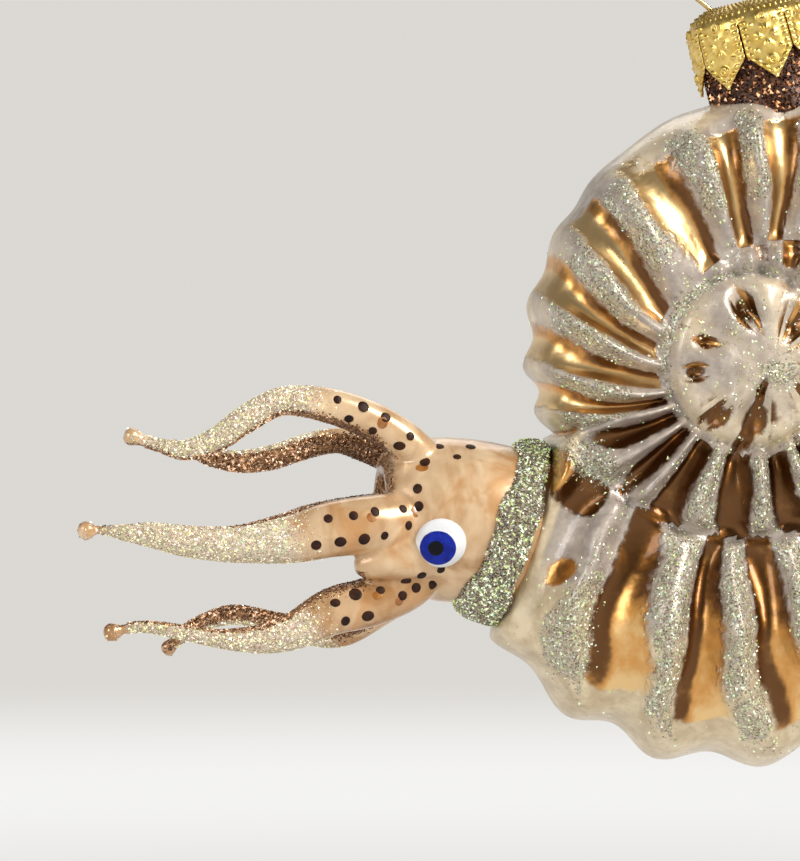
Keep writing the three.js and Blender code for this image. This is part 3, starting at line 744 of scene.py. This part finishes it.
def innerSide(centres, outward):
    # 1 where the surface looks towards the line through the mouth, -1 where it looks away, with more
    # counted as inner on the far arms
    toMouth = np.stack([0 * centres[..., 0], -centres[..., 1], armShape["mouthZ"] - centres[..., 2]], -1)
    return (unit(toMouth) * outward).sum(-1) + np.where(centres[..., 1] > 0, 0.45, 0.02)


# webs: glass drawn between the arms' roots, x, y, z and radius from the head outwards, on both sides
webs = [
    [(-44.5, 5.5, -92.6, 4.6), (-49.0, 7.0, -93.6, 4.2), (-53.8, 8.0, -94.8, 3.0), (-57.0, 8.4, -95.4, 1.0)],
    [(-44.5, 4.5, -85.4, 4.2), (-47.6, 5.4, -84.6, 3.4), (-49.6, 5.7, -84.0, 2.2), (-50.8, 5.8, -83.7, 0.9)],
]
farWebsBack = 2.4  # the far webs end this much nearer to the head


def buildBody():
    # head and arms are drawn from the same hot glass, so they are grown together and smoothed
    parts = [ballGrid(headRows())]
    for rows in arms.values():
        path, radius, _ = armPath(rows)
        parts.append(ballGrid(armRows(path, radius)[0]))
    for web in webs:
        for side in (-1, 1):
            back = farWebsBack if side > 0 else 0.0
            curve = through(np.array(web) * [1, side, 1, 1] + [back, 0, 0, 0], np.linspace(0, 1, 30))
            parts.append(ballGrid(armRows(curve[:, :3], curve[:, 3])[0]))
    offset, allPoints, allQuads, allTris = 0, [], [], []
    for points, quads, tris in parts:
        allPoints.append(points)
        allQuads.append(quads + offset)
        allTris.append(tris + offset)
        offset += len(points)
    piece = meshPiece("bodyGlass", *[np.concatenate(kind) for kind in (allPoints, allQuads, allTris)])
    bpy.context.view_layer.objects.active = piece
    grow = piece.modifiers.new("grow", "REMESH")
    grow.mode = "VOXEL"
    grow.voxel_size = 0.34 * mm
    soften = piece.modifiers.new("soften", "SMOOTH")
    soften.factor = 0.5
    soften.iterations = 7
    evaluated = piece.evaluated_get(bpy.context.evaluated_depsgraph_get())
    mesh = bpy.data.meshes.new_from_object(evaluated)
    piece.modifiers.clear()
    piece.data = mesh
    mesh.polygons.foreach_set("use_smooth", np.full(len(mesh.polygons), True))
    return piece


def paintBody(piece):
    # per-point fields: how far out along the nearest arm, and how much it faces the mouth
    mesh = piece.data
    co = np.zeros(len(mesh.vertices) * 3, np.float32)
    mesh.vertices.foreach_get("co", co)
    co = co.reshape(-1, 3) / mm
    nearest = np.full(len(co), 1e9)
    out = np.zeros(len(co))
    inner = np.zeros(len(co))
    for rows in arms.values():
        path, radius, along = armPath(rows)
        gapTo = np.linalg.norm(co[:, None] - path[None, ::2], axis=2) - radius[None, ::2]
        best = gapTo.argmin(1) * 2
        close = gapTo.min(1) < nearest
        nearest = np.where(close, gapTo.min(1), nearest)
        facing = innerSide(path[best], unit(co - path[best]))
        out = np.where(close, along[best], out)
        inner = np.where(close, facing, inner)
    onArm = ramp(co[:, 0], -49.0, -53.0)
    fromAxis = np.linalg.norm(co[:, 1:] - [0, armShape["mouthZ"]], axis=1)
    mouth = ramp(fromAxis, 9.9, 8.4) * ramp(co[:, 0], -45, -48.5)
    # painted light: the glass is made paler towards the top, where the light falls
    lift = ramp(co[:, 2], -104, -76)
    for name, values in (("out", out * onArm), ("inner", inner * onArm), ("mouth", mouth), ("lift", lift)):
        layer = mesh.attributes.new(name, "FLOAT", "POINT")
        layer.data.foreach_set("value", values.astype(np.float32))


def bodyFinish(v):
    # marbled caramel and cream pearl, paler towards the top as painted light, dark copper inside the mouth
    # and along the arms' inner sides
    marble = v.noise(95, 3, 0.5, 0.9, (1.0, 1.0, 0.75))
    veins = v.noise(240, 3, 0.5, 1.4, (1.0, 1.0, 0.6))
    # the marbling and the painted top light set caramel against cream
    depth = marble.step(0.40, 0.60) * 0.5 + veins.step(0.38, 0.62) * 0.2 + v.field("lift") * 0.35
    amber = v.noise(130, 3, 0.6, 0.6).step(0.52, 0.70) * 0.75
    caramel = amber.mix(depth.mix((0.42, 0.205, 0.065, 1), (0.86, 0.64, 0.40, 1)), (0.58, 0.28, 0.09, 1))
    out = v.field("out")
    inside = (v.field("inner") + (v.noise(700, 3) - 0.5) * 0.5).step(0.25, 0.5) * out.step(0.06, 0.14)
    dark = (inside + v.field("mouth")).step(0.2, 0.9)
    pale = (out + (v.noise(500, 3) - 0.5) * 0.08).step(0.40, 0.46) * (1.0 - out.step(0.90, 0.95))
    grain = v.cell(3400)
    copperGrain = (grain * 0.8).pick(copperStops)
    return {
        "Base Color": dark.mix(pale.mix(caramel, grain.pick(paleStops)), copperGrain),
        "Roughness": 0.2 + marble * 0.16 + pale * 0.15,
        "Metallic": 0.25 - pale * 0.15,
        "Normal": v.bump(veins * 0.3 + (pale + dark) * grain * 0.5, 0.00015),
    }


body = buildBody()
paintBody(body)
settle(body, finish("caramelPearl", bodyFinish, Coat_Weight=0.4, Coat_Roughness=0.18), "head_glass",
       "glass_head", *arms)
print("head and arms are built", len(body.data.polygons))


# glitter on the arms: frosted outside, copper inside

armGlitter = {
    "tries": 26000,             # on an arm of this length
    "armLength": 60,
    "pale": 0.19,               # sizes of the grains
    "copper": 0.24,
    "innerFrom": 0.34,          # how much a side has to face the mouth to be copper
    "copperRange": (0.16, 0.93),
    "frostFrom": 0.42,          # shares of an arm's length
    "copperShare": 0.55,
    "frostShares": (0.85, 0.12),  # along the arm and at its tip
}


def buildArmGlitter(s):
    # random places on each arm, centre + radius * (cos a * across + sin a * up), sorted by side
    frost, copper = [], []
    for rows in arms.values():
        path, radius, along = armPath(rows)
        _, ring = armRows(path, radius)
        length = np.linalg.norm(np.diff(path, axis=0), axis=1).sum()
        tries = int(s["tries"] * length / s["armLength"])
        weight = radius / radius.sum()
        row = rng.choice(len(path), tries, p=weight)
        column = rng.integers(0, armShape["around"], tries)
        spread = rng.uniform(-0.5, 0.5, (2, tries))
        rowPlace = np.clip(row + spread[0], 0, len(path) - 1.001)
        columnPlace = (column + spread[1]) * 2 * np.pi / armShape["around"]
        i = rowPlace.astype(int)
        f = (rowPlace - i)[:, None]
        centre = blend(path[i], path[i + 1], f)
        size = blend(radius[i], radius[i + 1], f[:, 0])
        across = ring[:, 0]
        up = ring[:, armShape["around"] // 4]
        outward = np.cos(columnPlace)[:, None] * blend(across[i], across[i + 1], f)
        outward = unit(outward + np.sin(columnPlace)[:, None] * blend(up[i], up[i + 1], f))
        where = centre + outward * (size * 0.985)[:, None]
        out = blend(along[i], along[i + 1], f[:, 0])
        inner = innerSide(centre, outward)
        ragged = rng.normal(0, 0.03, tries)
        isInner = inner + 4 * ragged > s["innerFrom"]
        isCopper = isInner & (out > s["copperRange"][0] + ragged) & (out < s["copperRange"][1])
        isCopper &= rng.random(tries) < s["copperShare"]
        isFrost = ~isInner & (out > s["frostFrom"] + ragged)
        isFrost &= rng.random(tries) < blend(*s["frostShares"], ramp(out, 0.9, 0.95))
        tone = rng.random(tries)
        # painted shade: the copper grains are made darker towards the mouth, where the arms' roots shade them
        shaded = tone * blend(0.4, 1.0, ramp(out, 0.25, 0.5))  # the grains are darker towards the mouth
        frost.append((where[isFrost], outward[isFrost], tone[isFrost]))
        copper.append((where[isCopper], outward[isCopper], shaded[isCopper]))
    sets = []
    for name, picked, size in (("armFrost", frost, s["pale"]), ("armCopper", copper, s["copper"])):
        centres, normals, tones = [np.concatenate(kind) for kind in zip(*picked)]
        print(name, len(centres))
        sets.append(grains(name, centres, normals, size, tones))
    return sets


armFrost, armCopper = buildArmGlitter(armGlitter)
paleGlitter = finish("paleGlitter", grainFinish(paleStops, paleSparks), Metallic=0.3, Coat_Weight=0.5,
                     Emission_Strength=0.6)
settle(armFrost, paleGlitter, "arm_glass", *arms)
settle(armCopper, copperGlitter, "arm_glass", *arms)
print("arm glitter is laid")


# collar: a thick band of glue and glitter over the joint of head and shell

collar = {
    "lipTop": shell["lipTop"],
    "lipBottom": shell["lipBottom"],
    "width": 5.3,
    "atLip": (13.3, 12.9, 17),   # half height, half depth and tilt of the first section
    "atHead": (12.3, 12.0, 22),  # and of the last
    "thick": 1.05,
    "around": 180,
    "steps": 18,
    "grains": 24000,
    "size": 0.22,
}


def collarPoint(turn, step, proud):
    # an oval round the head at a step from lip to head, standing proud of it
    c = collar
    lean = math.atan2(c["lipTop"][0] - c["lipBottom"][0], c["lipTop"][1] - c["lipBottom"][1])
    wander = 0.55 * np.sin(5 * turn + 1.0) * (step - 0.3) + 0.3 * np.sin(11 * turn) * (step - 0.5)
    reach = 0.3 + step * c["width"] + wander
    x = (c["lipTop"][0] + c["lipBottom"][0]) / 2 - reach * math.cos(lean)
    z = (c["lipTop"][1] + c["lipBottom"][1]) / 2 + reach * math.sin(lean)
    high, deep, tilt = [blend(a, b, step) for a, b in zip(c["atLip"], c["atHead"])]
    up = (high + proud) * np.cos(turn)
    return np.stack([x + up * np.sin(np.radians(tilt)), -(deep + proud) * np.sin(turn),
                     z + up * np.cos(np.radians(tilt))], -1)


def collarProud(turn, step):
    # a low round band with a lumpy back
    band = np.sqrt(np.clip(1 - np.abs(2 * step - 1) ** 2.6, 0, 1))
    lumps = 0.12 * np.sin(9 * turn + 4 * step) + 0.1 * np.sin(17 * turn + 2)
    return collar["thick"] * (0.1 + 0.8 * band) + lumps * band


def buildCollar():
    # sections all the way round: over the band's back, then under it inside the glass
    turn = np.linspace(0, 2 * np.pi, collar["around"], endpoint=False)[:, None]
    step = np.linspace(0, 1, collar["steps"])[None, :]
    over = collarPoint(turn, step + 0 * turn, collarProud(turn, step))
    under = collarPoint(turn, step[:, ::-1] + 0 * turn, -1.2 + 0 * turn)
    return meshPiece("collarPaste", *loopGrid(np.concatenate([over, under], 1)))


def collarFinish(v):
    # grey glue with specks of all shades between the loose grains
    grain = v.cell(3300)
    return {
        "Base Color": grain.pick(frostStops),
        "Roughness": 0.25 + grain * 0.3,
        "Normal": v.bump(grain, 0.0003),
    }


def buildCollarGlitter(c):
    # grains all over the band, thinning out just past its edges
    turn = rng.uniform(0, 2 * np.pi, c["grains"])
    step = rng.uniform(-0.02, 1.03, c["grains"])
    proud = collarProud(turn, np.clip(step, 0, 1))
    here = collarPoint(turn, step, proud)
    middle = collarPoint(turn, step, proud - 1.0)
    stay = rng.random(c["grains"]) < 0.5 + 0.5 * ramp(np.abs(2 * step - 1), 1.06, 0.9)
    here, middle = here[stay], middle[stay]
    tone = rng.random(len(here)) ** 1.7
    return grains("collarGlitter", here, unit(here - middle), c["size"], tone, flatness=0.7)


settle(buildCollar(), finish("glitterPaste", collarFinish, Metallic=0.3, Coat_Weight=0.6), "glitter_paste",
       "glitter_collar")
settle(buildCollarGlitter(collar), frostGlitter, "glitter_paste", "glitter_collar")
print("collar is laid")


# eyes: white enamel dome with an off-centre blue iris and black pupil, each a little proud

eye = {
    "place": (-44.8, 10.9, -91.9),
    "pitch": 16,                 # how far it looks down and ahead, in degrees
    "yaw": 7,
    "white": 3.65,
    "dome": 1.7,
    "iris": (0.45, -0.4, 2.6),   # towards the mouth, up, radius
    "pupil": (0.75, -0.3, 1.12),
    "around": 120,
    "rings": 48,
}


def buildEye(name, side):
    # height over the disc: dome * sqrt(1 - r^2), plus a low step for the iris and one for the pupil
    turn = np.linspace(0, 2 * np.pi, eye["around"], endpoint=False)[None, :]
    r = np.sin(np.linspace(0, np.pi / 2, eye["rings"]))[:, None]
    forward, up = eye["white"] * r * np.cos(turn), eye["white"] * r * np.sin(turn)
    fromIris = np.hypot(forward - eye["iris"][0], up - eye["iris"][1]) - eye["iris"][2]
    fromPupil = np.hypot(forward - eye["pupil"][0], up - eye["pupil"][1]) - eye["pupil"][2]
    dome = eye["dome"] * np.sqrt(np.clip(1 - r ** 2, 0, 1)) + 0 * turn
    front = dome + 0.14 * ramp(fromIris, 0.13, -0.13) + 0.09 * ramp(fromPupil, 0.12, -0.12)
    height = np.concatenate([front, -0.7 * dome[-2::-1]])
    forward, up = [np.concatenate([a, a[-2::-1]]) for a in (forward, up)]
    pitch, yaw = math.radians(eye["pitch"]), math.radians(eye["yaw"])
    out = np.array([-math.sin(yaw) * math.cos(pitch), side * math.cos(yaw) * math.cos(pitch),
                    -math.sin(pitch)])
    ahead = unit(np.array([-1.0, 0, 0]) - out * -out[0])
    above = np.cross(out, ahead) * side * -1
    above = above * np.sign(above[2])
    x, y, z = eye["place"]
    rows = np.array([x, side * y, z]) + height[..., None] * out
    rows = rows + forward[..., None] * ahead + up[..., None] * above
    fields = {}
    for field, values in (("iris", fromIris), ("pupil", fromPupil)):
        fields[field] = ballField(np.concatenate([values, values[-2::-1]]))
    return meshPiece(name, *ballGrid(rows), fields)


def eyeFinish(v):
    # enamel poured by hand: white, then blue, then black, with soft uneven edges
    uneven = (v.noise(600, 2) - 0.5) * 0.12
    blue = v.noise(900, 3).step(0.3, 0.7).mix((0.003, 0.010, 0.20, 1), (0.006, 0.024, 0.36, 1))
    white = v.noise(300, 2).step(0.3, 0.7).mix((0.74, 0.75, 0.77, 1), (0.83, 0.83, 0.83, 1))
    onBlue = (v.field("iris") + uneven).step(-0.04, 0.04).mix(blue, white)
    return {
        "Base Color": (v.field("pupil") + uneven).step(-0.05, 0.05).mix((0.001, 0.002, 0.004, 1), onBlue),
        "Roughness": 0.2 + v.noise(200, 2) * 0.1,
    }


enamel = finish("eyeEnamel", eyeFinish, Specular_IOR_Level=0.18)
settle(buildEye("eyeNear", -1), enamel, "eye_enamel", "eye_near")
settle(buildEye("eyeFar", 1), enamel, "eye_enamel", "eye_far")


# spots: dots of brown enamel in zigzag rows along the near arms' roots and over the head

spots = {
    "alongArms": [  # arm, from x, to x, how many
        ("arm_upper_near", -48.6, -59.5, 7),
        ("arm_middle_near", -53.0, -63.0, 7),
        ("arm_lower_near", -53.5, -60.0, 5)],
    "overHead": [  # from x and z, to x and z, how many
        ((-47.5, -84.5), (-50.5, -89.0), 4),   # before the eye
        ((-39.5, -78.8), (-46.5, -79.2), 4),   # along the top
        ((-44.5, -96.5), (-50.5, -98.5), 6)],  # under the eye
    "armSwing": 0.45,       # to each side of the line, as a share of the arm's radius
    "headSwing": 0.9,
    "stray": 0.25,
    "farStray": 0.6,        # how far the far side's dots lie off the near side's
    "radius": (0.6, 0.95),
    "amberEvery": 6,          # one dot in so many has an amber one beside it, lower and towards the tips
    "amberOffset": (-0.5, -0.8, 0),
    "amberRise": 0.35,        # as a share of a brown dot's rise
    "rise": 0.13,
    "sink": 0.35,
    "around": 20,
    "rings": 13,
}


def spotPlaces(s):
    # x, z and radius of each dot: line + (-1)^k * swing across the line, moved by a little stray
    lines = []
    for name, first, last, count in s["alongArms"]:
        path, radius, _ = armPath(arms[name])
        x = np.linspace(first, last, count)
        z, thick = [np.interp(x, path[::-1, 0], values[::-1]) for values in (path[:, 2], radius)]
        lines.append(np.stack([x, z, 0 * x, s["armSwing"] * thick], -1))
    for first, last, count in s["overHead"]:
        across = s["headSwing"] * unit(np.subtract(last, first))[::-1] * [-1, 1]
        lines.append(np.linspace((*first, *across), (*last, *across), count))
    line = np.concatenate(lines)
    loose = np.random.default_rng(11)
    stray = loose.uniform(-s["stray"], s["stray"], (len(line), 2))
    side = np.where(np.arange(len(line)) % 2, -1.0, 1.0)
    radius = loose.uniform(*s["radius"], len(line))
    return np.column_stack([line[:, :2] + side[:, None] * line[:, 2:] + stray, radius])


def ontoBody(tree, places, side):
    # each x, z place is carried straight onto the glass from one side: its point and normal there
    found = []
    for x, z, radius in places:
        start = Vector((x, side * 40, z)) * mm
        point, normal, _, _ = tree.ray_cast(start, Vector((0, -side, 0)))
        if point is not None:
            found.append((*np.array(point) / mm, *normal, radius))
    return np.array(found)


def dots(name, found, rise, sink):
    # low ellipsoids: centre + radius * r (cos a * e1 + sin a * e2) + rise * sqrt(1 - r^2) * normal
    centre, normal, radius = found[:, :3], unit(found[:, 3:6]), found[:, 6]
    first = unit(np.cross(normal, [0.0, 0.0, 1.0]))
    second = np.cross(normal, first)
    turn = np.linspace(0, 2 * np.pi, spots["around"], endpoint=False)[None, :]
    polar = np.linspace(0, np.pi, spots["rings"])[:, None]
    template, quads, tris = ballGrid(np.stack([np.sin(polar) * np.cos(turn), np.sin(polar) * np.sin(turn),
                                               np.cos(polar) + 0 * turn], -1))
    stretch = rng.uniform(0.82, 1.12, (len(found), 2, 1, 1))
    height = np.where(template[:, 2] > 0, rise, sink) * template[:, 2]
    points = centre[:, None] + radius[:, None, None] * (
        template[:, 0, None] * stretch[:, 0] * first[:, None]
        + template[:, 1, None] * stretch[:, 1] * second[:, None]) + height[:, None] * normal[:, None]
    start = len(template) * np.arange(len(found))[:, None, None]
    return meshPiece(name, points.reshape(-1, 3), quads + start, (tris + start).reshape(-1, 3))


def spotFinish(v):
    # thick brown enamel, a little uneven in its shade
    shade = v.noise(700, 3).step(0.3, 0.7)
    return {"Base Color": shade.mix((0.016, 0.007, 0.005, 1), (0.05, 0.018, 0.009, 1)),
            "Roughness": 0.38 + shade * 0.15}


def amberFinish(v):
    # the amber dots beside some brown ones, glossy and a little uneven in tone
    shade = v.noise(700, 3).step(0.3, 0.7)
    return {"Base Color": shade.mix((0.26, 0.085, 0.012, 1), (0.42, 0.17, 0.03, 1)),
            "Roughness": 0.2 + shade * 0.1}


skin = BVHTree.FromObject(body, bpy.context.evaluated_depsgraph_get())
nearSpots = spotPlaces(spots)
farSpots = nearSpots.copy()
farSpots[:, :2] += rng.uniform(-spots["farStray"], spots["farStray"], (len(nearSpots), 2))
brown = np.concatenate([ontoBody(skin, nearSpots, -1), ontoBody(skin, farSpots, 1)])
amberPlaces = nearSpots[2::spots["amberEvery"]] + spots["amberOffset"]
amber = np.concatenate([ontoBody(skin, amberPlaces, side) for side in (-1, 1)])
brownDots = dots("spotDots", brown, spots["rise"], spots["sink"])
brownEnamel = finish("brownEnamel", spotFinish, Specular_IOR_Level=0.15)
settle(brownDots, brownEnamel, "head_glass", "glass_head")
amberDots = dots("amberDots", amber, spots["amberRise"] * spots["rise"], spots["sink"])
amberDotFinish = finish("amberDotFinish", amberFinish, Coat_Weight=0.5)
settle(amberDots, amberDotFinish, "head_glass", "glass_head")
print("eyes and spots are set", len(brown))


# neck, cap and wire stand round one leaning axis

cap = {
    "point": (3.6, 0.0, -20.9),  # on the axis, where the petals meet the band
    "lean": 15,                  # degrees
    "petals": 8,
    "slitTop": 5.2,
    "slit": 0.12,
    "tip": -3.9,
    "profile": [(0.0, 8.1), (3.3, 8.1), (4.9, 7.95), (6.4, 7.6), (8.0, 6.8), (9.0, 5.7), (9.32, 4.4),
                (9.42, 2.5), (9.5, 0.0), (9.6, -2.0), (9.7, -3.9)],
    "rows": 130,
    "columns": 46,
    "sheet": 0.35,
    "emboss": 0.42,
    "beadPitch": 0.95,
    "neckRadius": 8.5,
    "neckRange": (-13.5, 5.0),
    "neckGrains": 6500,
    "neckGrain": 0.24,
}


def onAxis(turn, radius, height):
    # round the leaning axis: turn 0 is the near side, growing towards +X
    lean = math.radians(cap["lean"])
    across = np.array([math.cos(lean), 0, math.sin(lean)])
    up = np.array([-math.sin(lean), 0, math.cos(lean)])
    turn, radius, height = np.broadcast_arrays(turn, radius, height)
    out = np.sin(turn)[..., None] * across - np.cos(turn)[..., None] * np.array([0, 1.0, 0])
    return np.array(cap["point"]) + radius[..., None] * out + height[..., None] * up


def buildCap():
    # eight sectors of one pressed sheet: each narrows to a petal below its slits
    along = through(cap["profile"], np.linspace(0, 1, cap["rows"]))
    radius, height = along[:, :1], along[:, 1:]
    sector = np.pi / cap["petals"]
    full = sector * radius
    straight = full - cap["slit"] * ramp(height, cap["slitTop"], cap["slitTop"] - 0.8)
    point = np.clip((cap["tip"] - height) / cap["tip"], 0.06, 1)
    half = np.where(height > 0, straight, straight * point)
    column = np.linspace(-1, 1, cap["columns"])[None, :]
    beside = column * half
    relief = embossing(beside, half, radius, height, column * sector)
    slope = np.gradient(along, axis=0)
    normal = unit(np.stack([-slope[:, 1], slope[:, 0]], -1))
    turn = beside / np.maximum(radius, 1e-6)
    turn = np.where(radius < 0.05, column * sector, turn)
    points, quads = [], []
    grid = np.arange(cap["rows"] * cap["columns"]).reshape(cap["rows"], -1)
    faces = np.stack([grid[:-1, :-1], grid[1:, :-1], grid[1:, 1:], grid[:-1, 1:]], -1).reshape(-1, 4)
    for petal in range(cap["petals"]):
        pressed = onAxis(turn + 2 * sector * petal, radius + relief * normal[:, :1],
                         height + relief * normal[:, 1:])
        points.append(pressed.reshape(-1, 3))
        quads.append(faces + petal * grid.size)
    piece = meshPiece("capSheet", np.concatenate(points), np.concatenate(quads))
    sheet = bmesh.new()
    sheet.from_mesh(piece.data)
    bmesh.ops.remove_doubles(sheet, verts=sheet.verts, dist=0.004 * mm)
    sheet.to_mesh(piece.data)
    sheet.free()
    thicken = piece.modifiers.new("thicken", "SOLIDIFY")
    thicken.thickness = cap["sheet"] * mm
    thicken.offset = -1
    return piece


def embossing(beside, half, radius, height, turn):
    # beads with dimples along the petal's border, a four-leaf rosette, two rings, and dots on the dome
    border = half - np.abs(beside)
    beat = 0.5 + 0.5 * np.cos(2 * np.pi * height / cap["beadPitch"])
    beads = bell(border, 0.55, 0.34) * beat - 0.55 * bell(border, 0.55, 0.13) * beat ** 4
    beads = beads * ramp(height, 6.4, 5.9)
    up = height - 2.3
    reach = np.hypot(beside, up)
    leaf = np.cos(2 * np.arctan2(up, beside)) ** 2
    rosette = bell(reach, 1.15, 0.55) * leaf * (1 - 0.5 * bell(leaf, 1, 0.12))
    rings = bell(np.hypot(beside, height + 1.2), 0.5, 0.2) + bell(np.hypot(beside, height - 5.2), 0.5, 0.2)
    specks = bell(np.hypot(np.abs(beside) - 1.9, height - 0.4), 0, 0.25)
    specks = specks + bell(np.hypot(np.abs(beside) - 1.9, height - 4.3), 0, 0.25)
    dome = np.clip(np.cos(56 * turn) * np.cos(2 * np.pi * (radius - 8.2) / 1.5), 0, 1) ** 1.5
    dome = dome * ramp(height, 5.9, 6.5) * ramp(radius, 4.6, 5.2)
    return cap["emboss"] * (beads + rosette + rings + specks + 0.8 * dome)


def goldFinish(v):
    # stamped gold tinplate, slightly worn, its colour uneven in patches
    wear = v.noise(800, 3)
    return {"Base Color": wear.step(0.35, 0.7).mix((0.70, 0.47, 0.11, 1), (0.88, 0.66, 0.22, 1)),
            "Roughness": 0.24 + wear * 0.14,
            "Normal": v.bump(wear, 0.00004)}


def neckRadius(height):
    # a plain tube that flares where it meets the shell
    return cap["neckRadius"] + 0.9 * ramp(height, -5, -9)


def buildNeck():
    # a glass tube closed by flat ends, one in the shell and one under the cap
    height = np.linspace(*cap["neckRange"], 30)[:, None]
    turn = np.linspace(0, 2 * np.pi, 96, endpoint=False)[None, :]
    rows = onAxis(turn, neckRadius(height), height)
    low, high = [onAxis(turn, 0 * turn, np.full_like(turn, end)) for end in cap["neckRange"]]
    return meshPiece("neckGlass", *ballGrid(np.concatenate([low, rows, high])))


def neckFinish(v):
    # dark copper glue under the glitter
    speckle = v.noise(1800, 2)
    return {"Base Color": speckle.step(0.4, 0.7).mix((0.03, 0.01, 0.005, 1), (0.16, 0.055, 0.022, 1)),
            "Roughness": 0.3 + speckle * 0.2}


def buildNeckGlitter():
    # copper grains on the neck below the cap
    height = rng.uniform(-12, 1.0, cap["neckGrains"])
    turn = rng.uniform(0, 2 * np.pi, cap["neckGrains"])
    here = onAxis(turn, neckRadius(height) + 0.05, height)
    return grains("neckGlitter", here, unit(here - onAxis(turn, 0 * turn, height)), cap["neckGrain"],
                  rng.random(len(here)), flatness=0.7)


wire = {
    "radius": 0.38,
    "loop": 7.7,
    "reach": 134,                # degrees from the loop's top down to each leg
    "spread": 4.2,
    "splay": 0.5,
    "heights": (0.5, 5.3, 7.3),  # foot, waist and shoulder of each leg
    "rows": 240,
    "around": 16,
}


def buildWire():
    # one wire: up through the cap, round the loop and down again, a round section along its path
    lean = math.radians(cap["lean"])
    loopMiddle = np.array([0, 0, wire["radius"] - wire["loop"]]) - np.array(cap["point"])
    middle = loopMiddle @ np.array([math.cos(lean), 0, math.sin(lean)])
    height = loopMiddle @ np.array([-math.sin(lean), 0, math.cos(lean)])
    turn = np.radians(np.linspace(-wire["reach"], wire["reach"], 19))
    loop = np.stack([middle + wire["loop"] * np.sin(turn), height + wire["loop"] * np.cos(turn)], -1)
    foot, waist, shoulder = wire["heights"]
    spread, splay = wire["spread"], wire["splay"]
    leg = np.array([(spread, foot), (spread, waist), (spread + splay, shoulder)])
    flat = np.concatenate([leg * [-1, 1], loop, leg[::-1]])
    curve = through(flat, np.linspace(0, 1, wire["rows"]))
    path = onAxis(np.full(len(curve), np.pi / 2), curve[:, 0], curve[:, 1])
    rows, _ = tubeRows(path, np.full(len(path), wire["radius"]), wire["around"], (0, 1, 0))
    rows[0], rows[-1] = path[0], path[-1]
    return meshPiece("wireLoop", *ballGrid(rows))


def wireFinish(v):
    # drawn brass with fine marks along it
    marks = v.noise(1500, 3)
    return {"Base Color": marks.step(0.3, 0.7).mix((0.50, 0.36, 0.14, 1), (0.76, 0.60, 0.30, 1)),
            "Roughness": 0.16 + marks * 0.12}


settle(buildNeck(), finish("neckGlue", neckFinish, Metallic=0.3), "shell_glass", "glass_shell")
settle(buildNeckGlitter(), bronzeGlitter, "shell_glass", "glass_shell")
settle(buildCap(), finish("stampedGold", goldFinish, Metallic=1.0), "cap_metal", "cap")
settle(buildWire(), finish("drawnBrass", wireFinish, Metallic=1.0), "wire_metal", "hanger_wire")
print("neck, cap and wire are built")


# floor and light

stage = {
    "floorZ": -0.1572,
    "radius": 3.0,
    "paper": (0.80, 0.79, 0.775),
    "glow": (0.90, 0.895, 0.88),
    "wall": (0.71, 0.69, 0.655),
    "ceiling": (0.22, 0.21, 0.20),
    "glowReach": (0.0, 0.5),   # metres from the middle over which the floor starts to glow
    "fade": (0.55, 1.15),      # and over which it fades into the air
    "dimming": (0.14, 0.5),    # upward part of the view over which the air dims
    "around": 96,
}


def addStage(s):
    # a round paper floor that glows from the middle outwards and fades into the air
    mesh = bpy.data.meshes.new("floor")
    turn = np.linspace(0, 2 * np.pi, s["around"], endpoint=False)
    ring = np.stack([s["radius"] * np.cos(turn), s["radius"] * np.sin(turn), 0 * turn + s["floorZ"]], -1)
    mesh.from_pydata(ring.tolist(), [], [list(range(len(ring)))])
    floor = bpy.data.objects.new("floor", mesh)
    bpy.context.scene.collection.objects.link(floor)
    material = bpy.data.materials.new("paper")
    material.use_nodes = True
    tree = material.node_tree
    paper = tree.nodes["Principled BSDF"]
    paper.inputs["Base Color"].default_value = (*s["paper"], 1)
    paper.inputs["Roughness"].default_value = 0.9
    v = Value(tree, None)
    away = v.node("ShaderNodeVectorMath", {"operation": "LENGTH"}, {0: v.place()}, output=1)
    air = v.node("ShaderNodeEmission", inputs={0: (*s["wall"], 1), 1: 1.0})
    glow = v.node("ShaderNodeEmission", inputs={0: (*s["glow"], 1), 1: 1.0})
    plain = Value(tree, paper.outputs[0])
    lit = v.node("ShaderNodeMixShader", inputs={0: away.step(*s["glowReach"]), 1: plain, 2: glow})
    mixed = v.node("ShaderNodeMixShader", inputs={0: away.step(*s["fade"]), 1: lit, 2: air})
    tree.links.new(mixed.socket, tree.nodes["Material Output"].inputs["Surface"])
    mesh.materials.append(material)


def addAir(s):
    # the room is pale along the horizon and dims towards the ceiling
    world = bpy.data.worlds.new("air")
    world.use_nodes = True
    v = Value(world.node_tree, None)
    ray = v.node("ShaderNodeTexCoord", output=0)
    height = v.node("ShaderNodeSeparateXYZ", inputs={0: ray}, output=2)
    colour = height.step(*s["dimming"]).mix((*s["wall"], 1), (*s["ceiling"], 1))
    world.node_tree.links.new(colour.socket, world.node_tree.nodes["Background"].inputs[0])
    bpy.context.scene.world = world


lightAim = (-0.02, 0, -0.07)
lights = [  # name, place, width and height, watts, colour
    ("window", (0.5, -0.42, 0.42), (0.3, 0.4), 7.0, (1.0, 0.97, 0.93)),
    ("fill", (-0.7, -0.5, 0.25), (0.4, 0.4), 2.6, (0.97, 0.98, 1.0)),
    ("back", (0.1, 0.6, 0.4), (0.5, 0.35), 0.8, (1, 1, 1)),
]


def addLight(name, place, aim, size, power, colour):
    # a soft box at a place, turned to its aim
    data = bpy.data.lights.new(name, "AREA")
    data.shape = "RECTANGLE"
    data.size, data.size_y = size
    data.energy = power
    data.color = colour
    light = bpy.data.objects.new(name, data)
    bpy.context.scene.collection.objects.link(light)
    light.location = place
    light.rotation_euler = (Vector(aim) - Vector(place)).to_track_quat("-Z", "Y").to_euler()


addStage(stage)
addAir(stage)
for name, place, size, power, colour in lights:
    addLight(name, place, lightAim, size, power, colour)
bpy.context.scene.view_settings.view_transform = "Standard"
print("stage and lights are set")
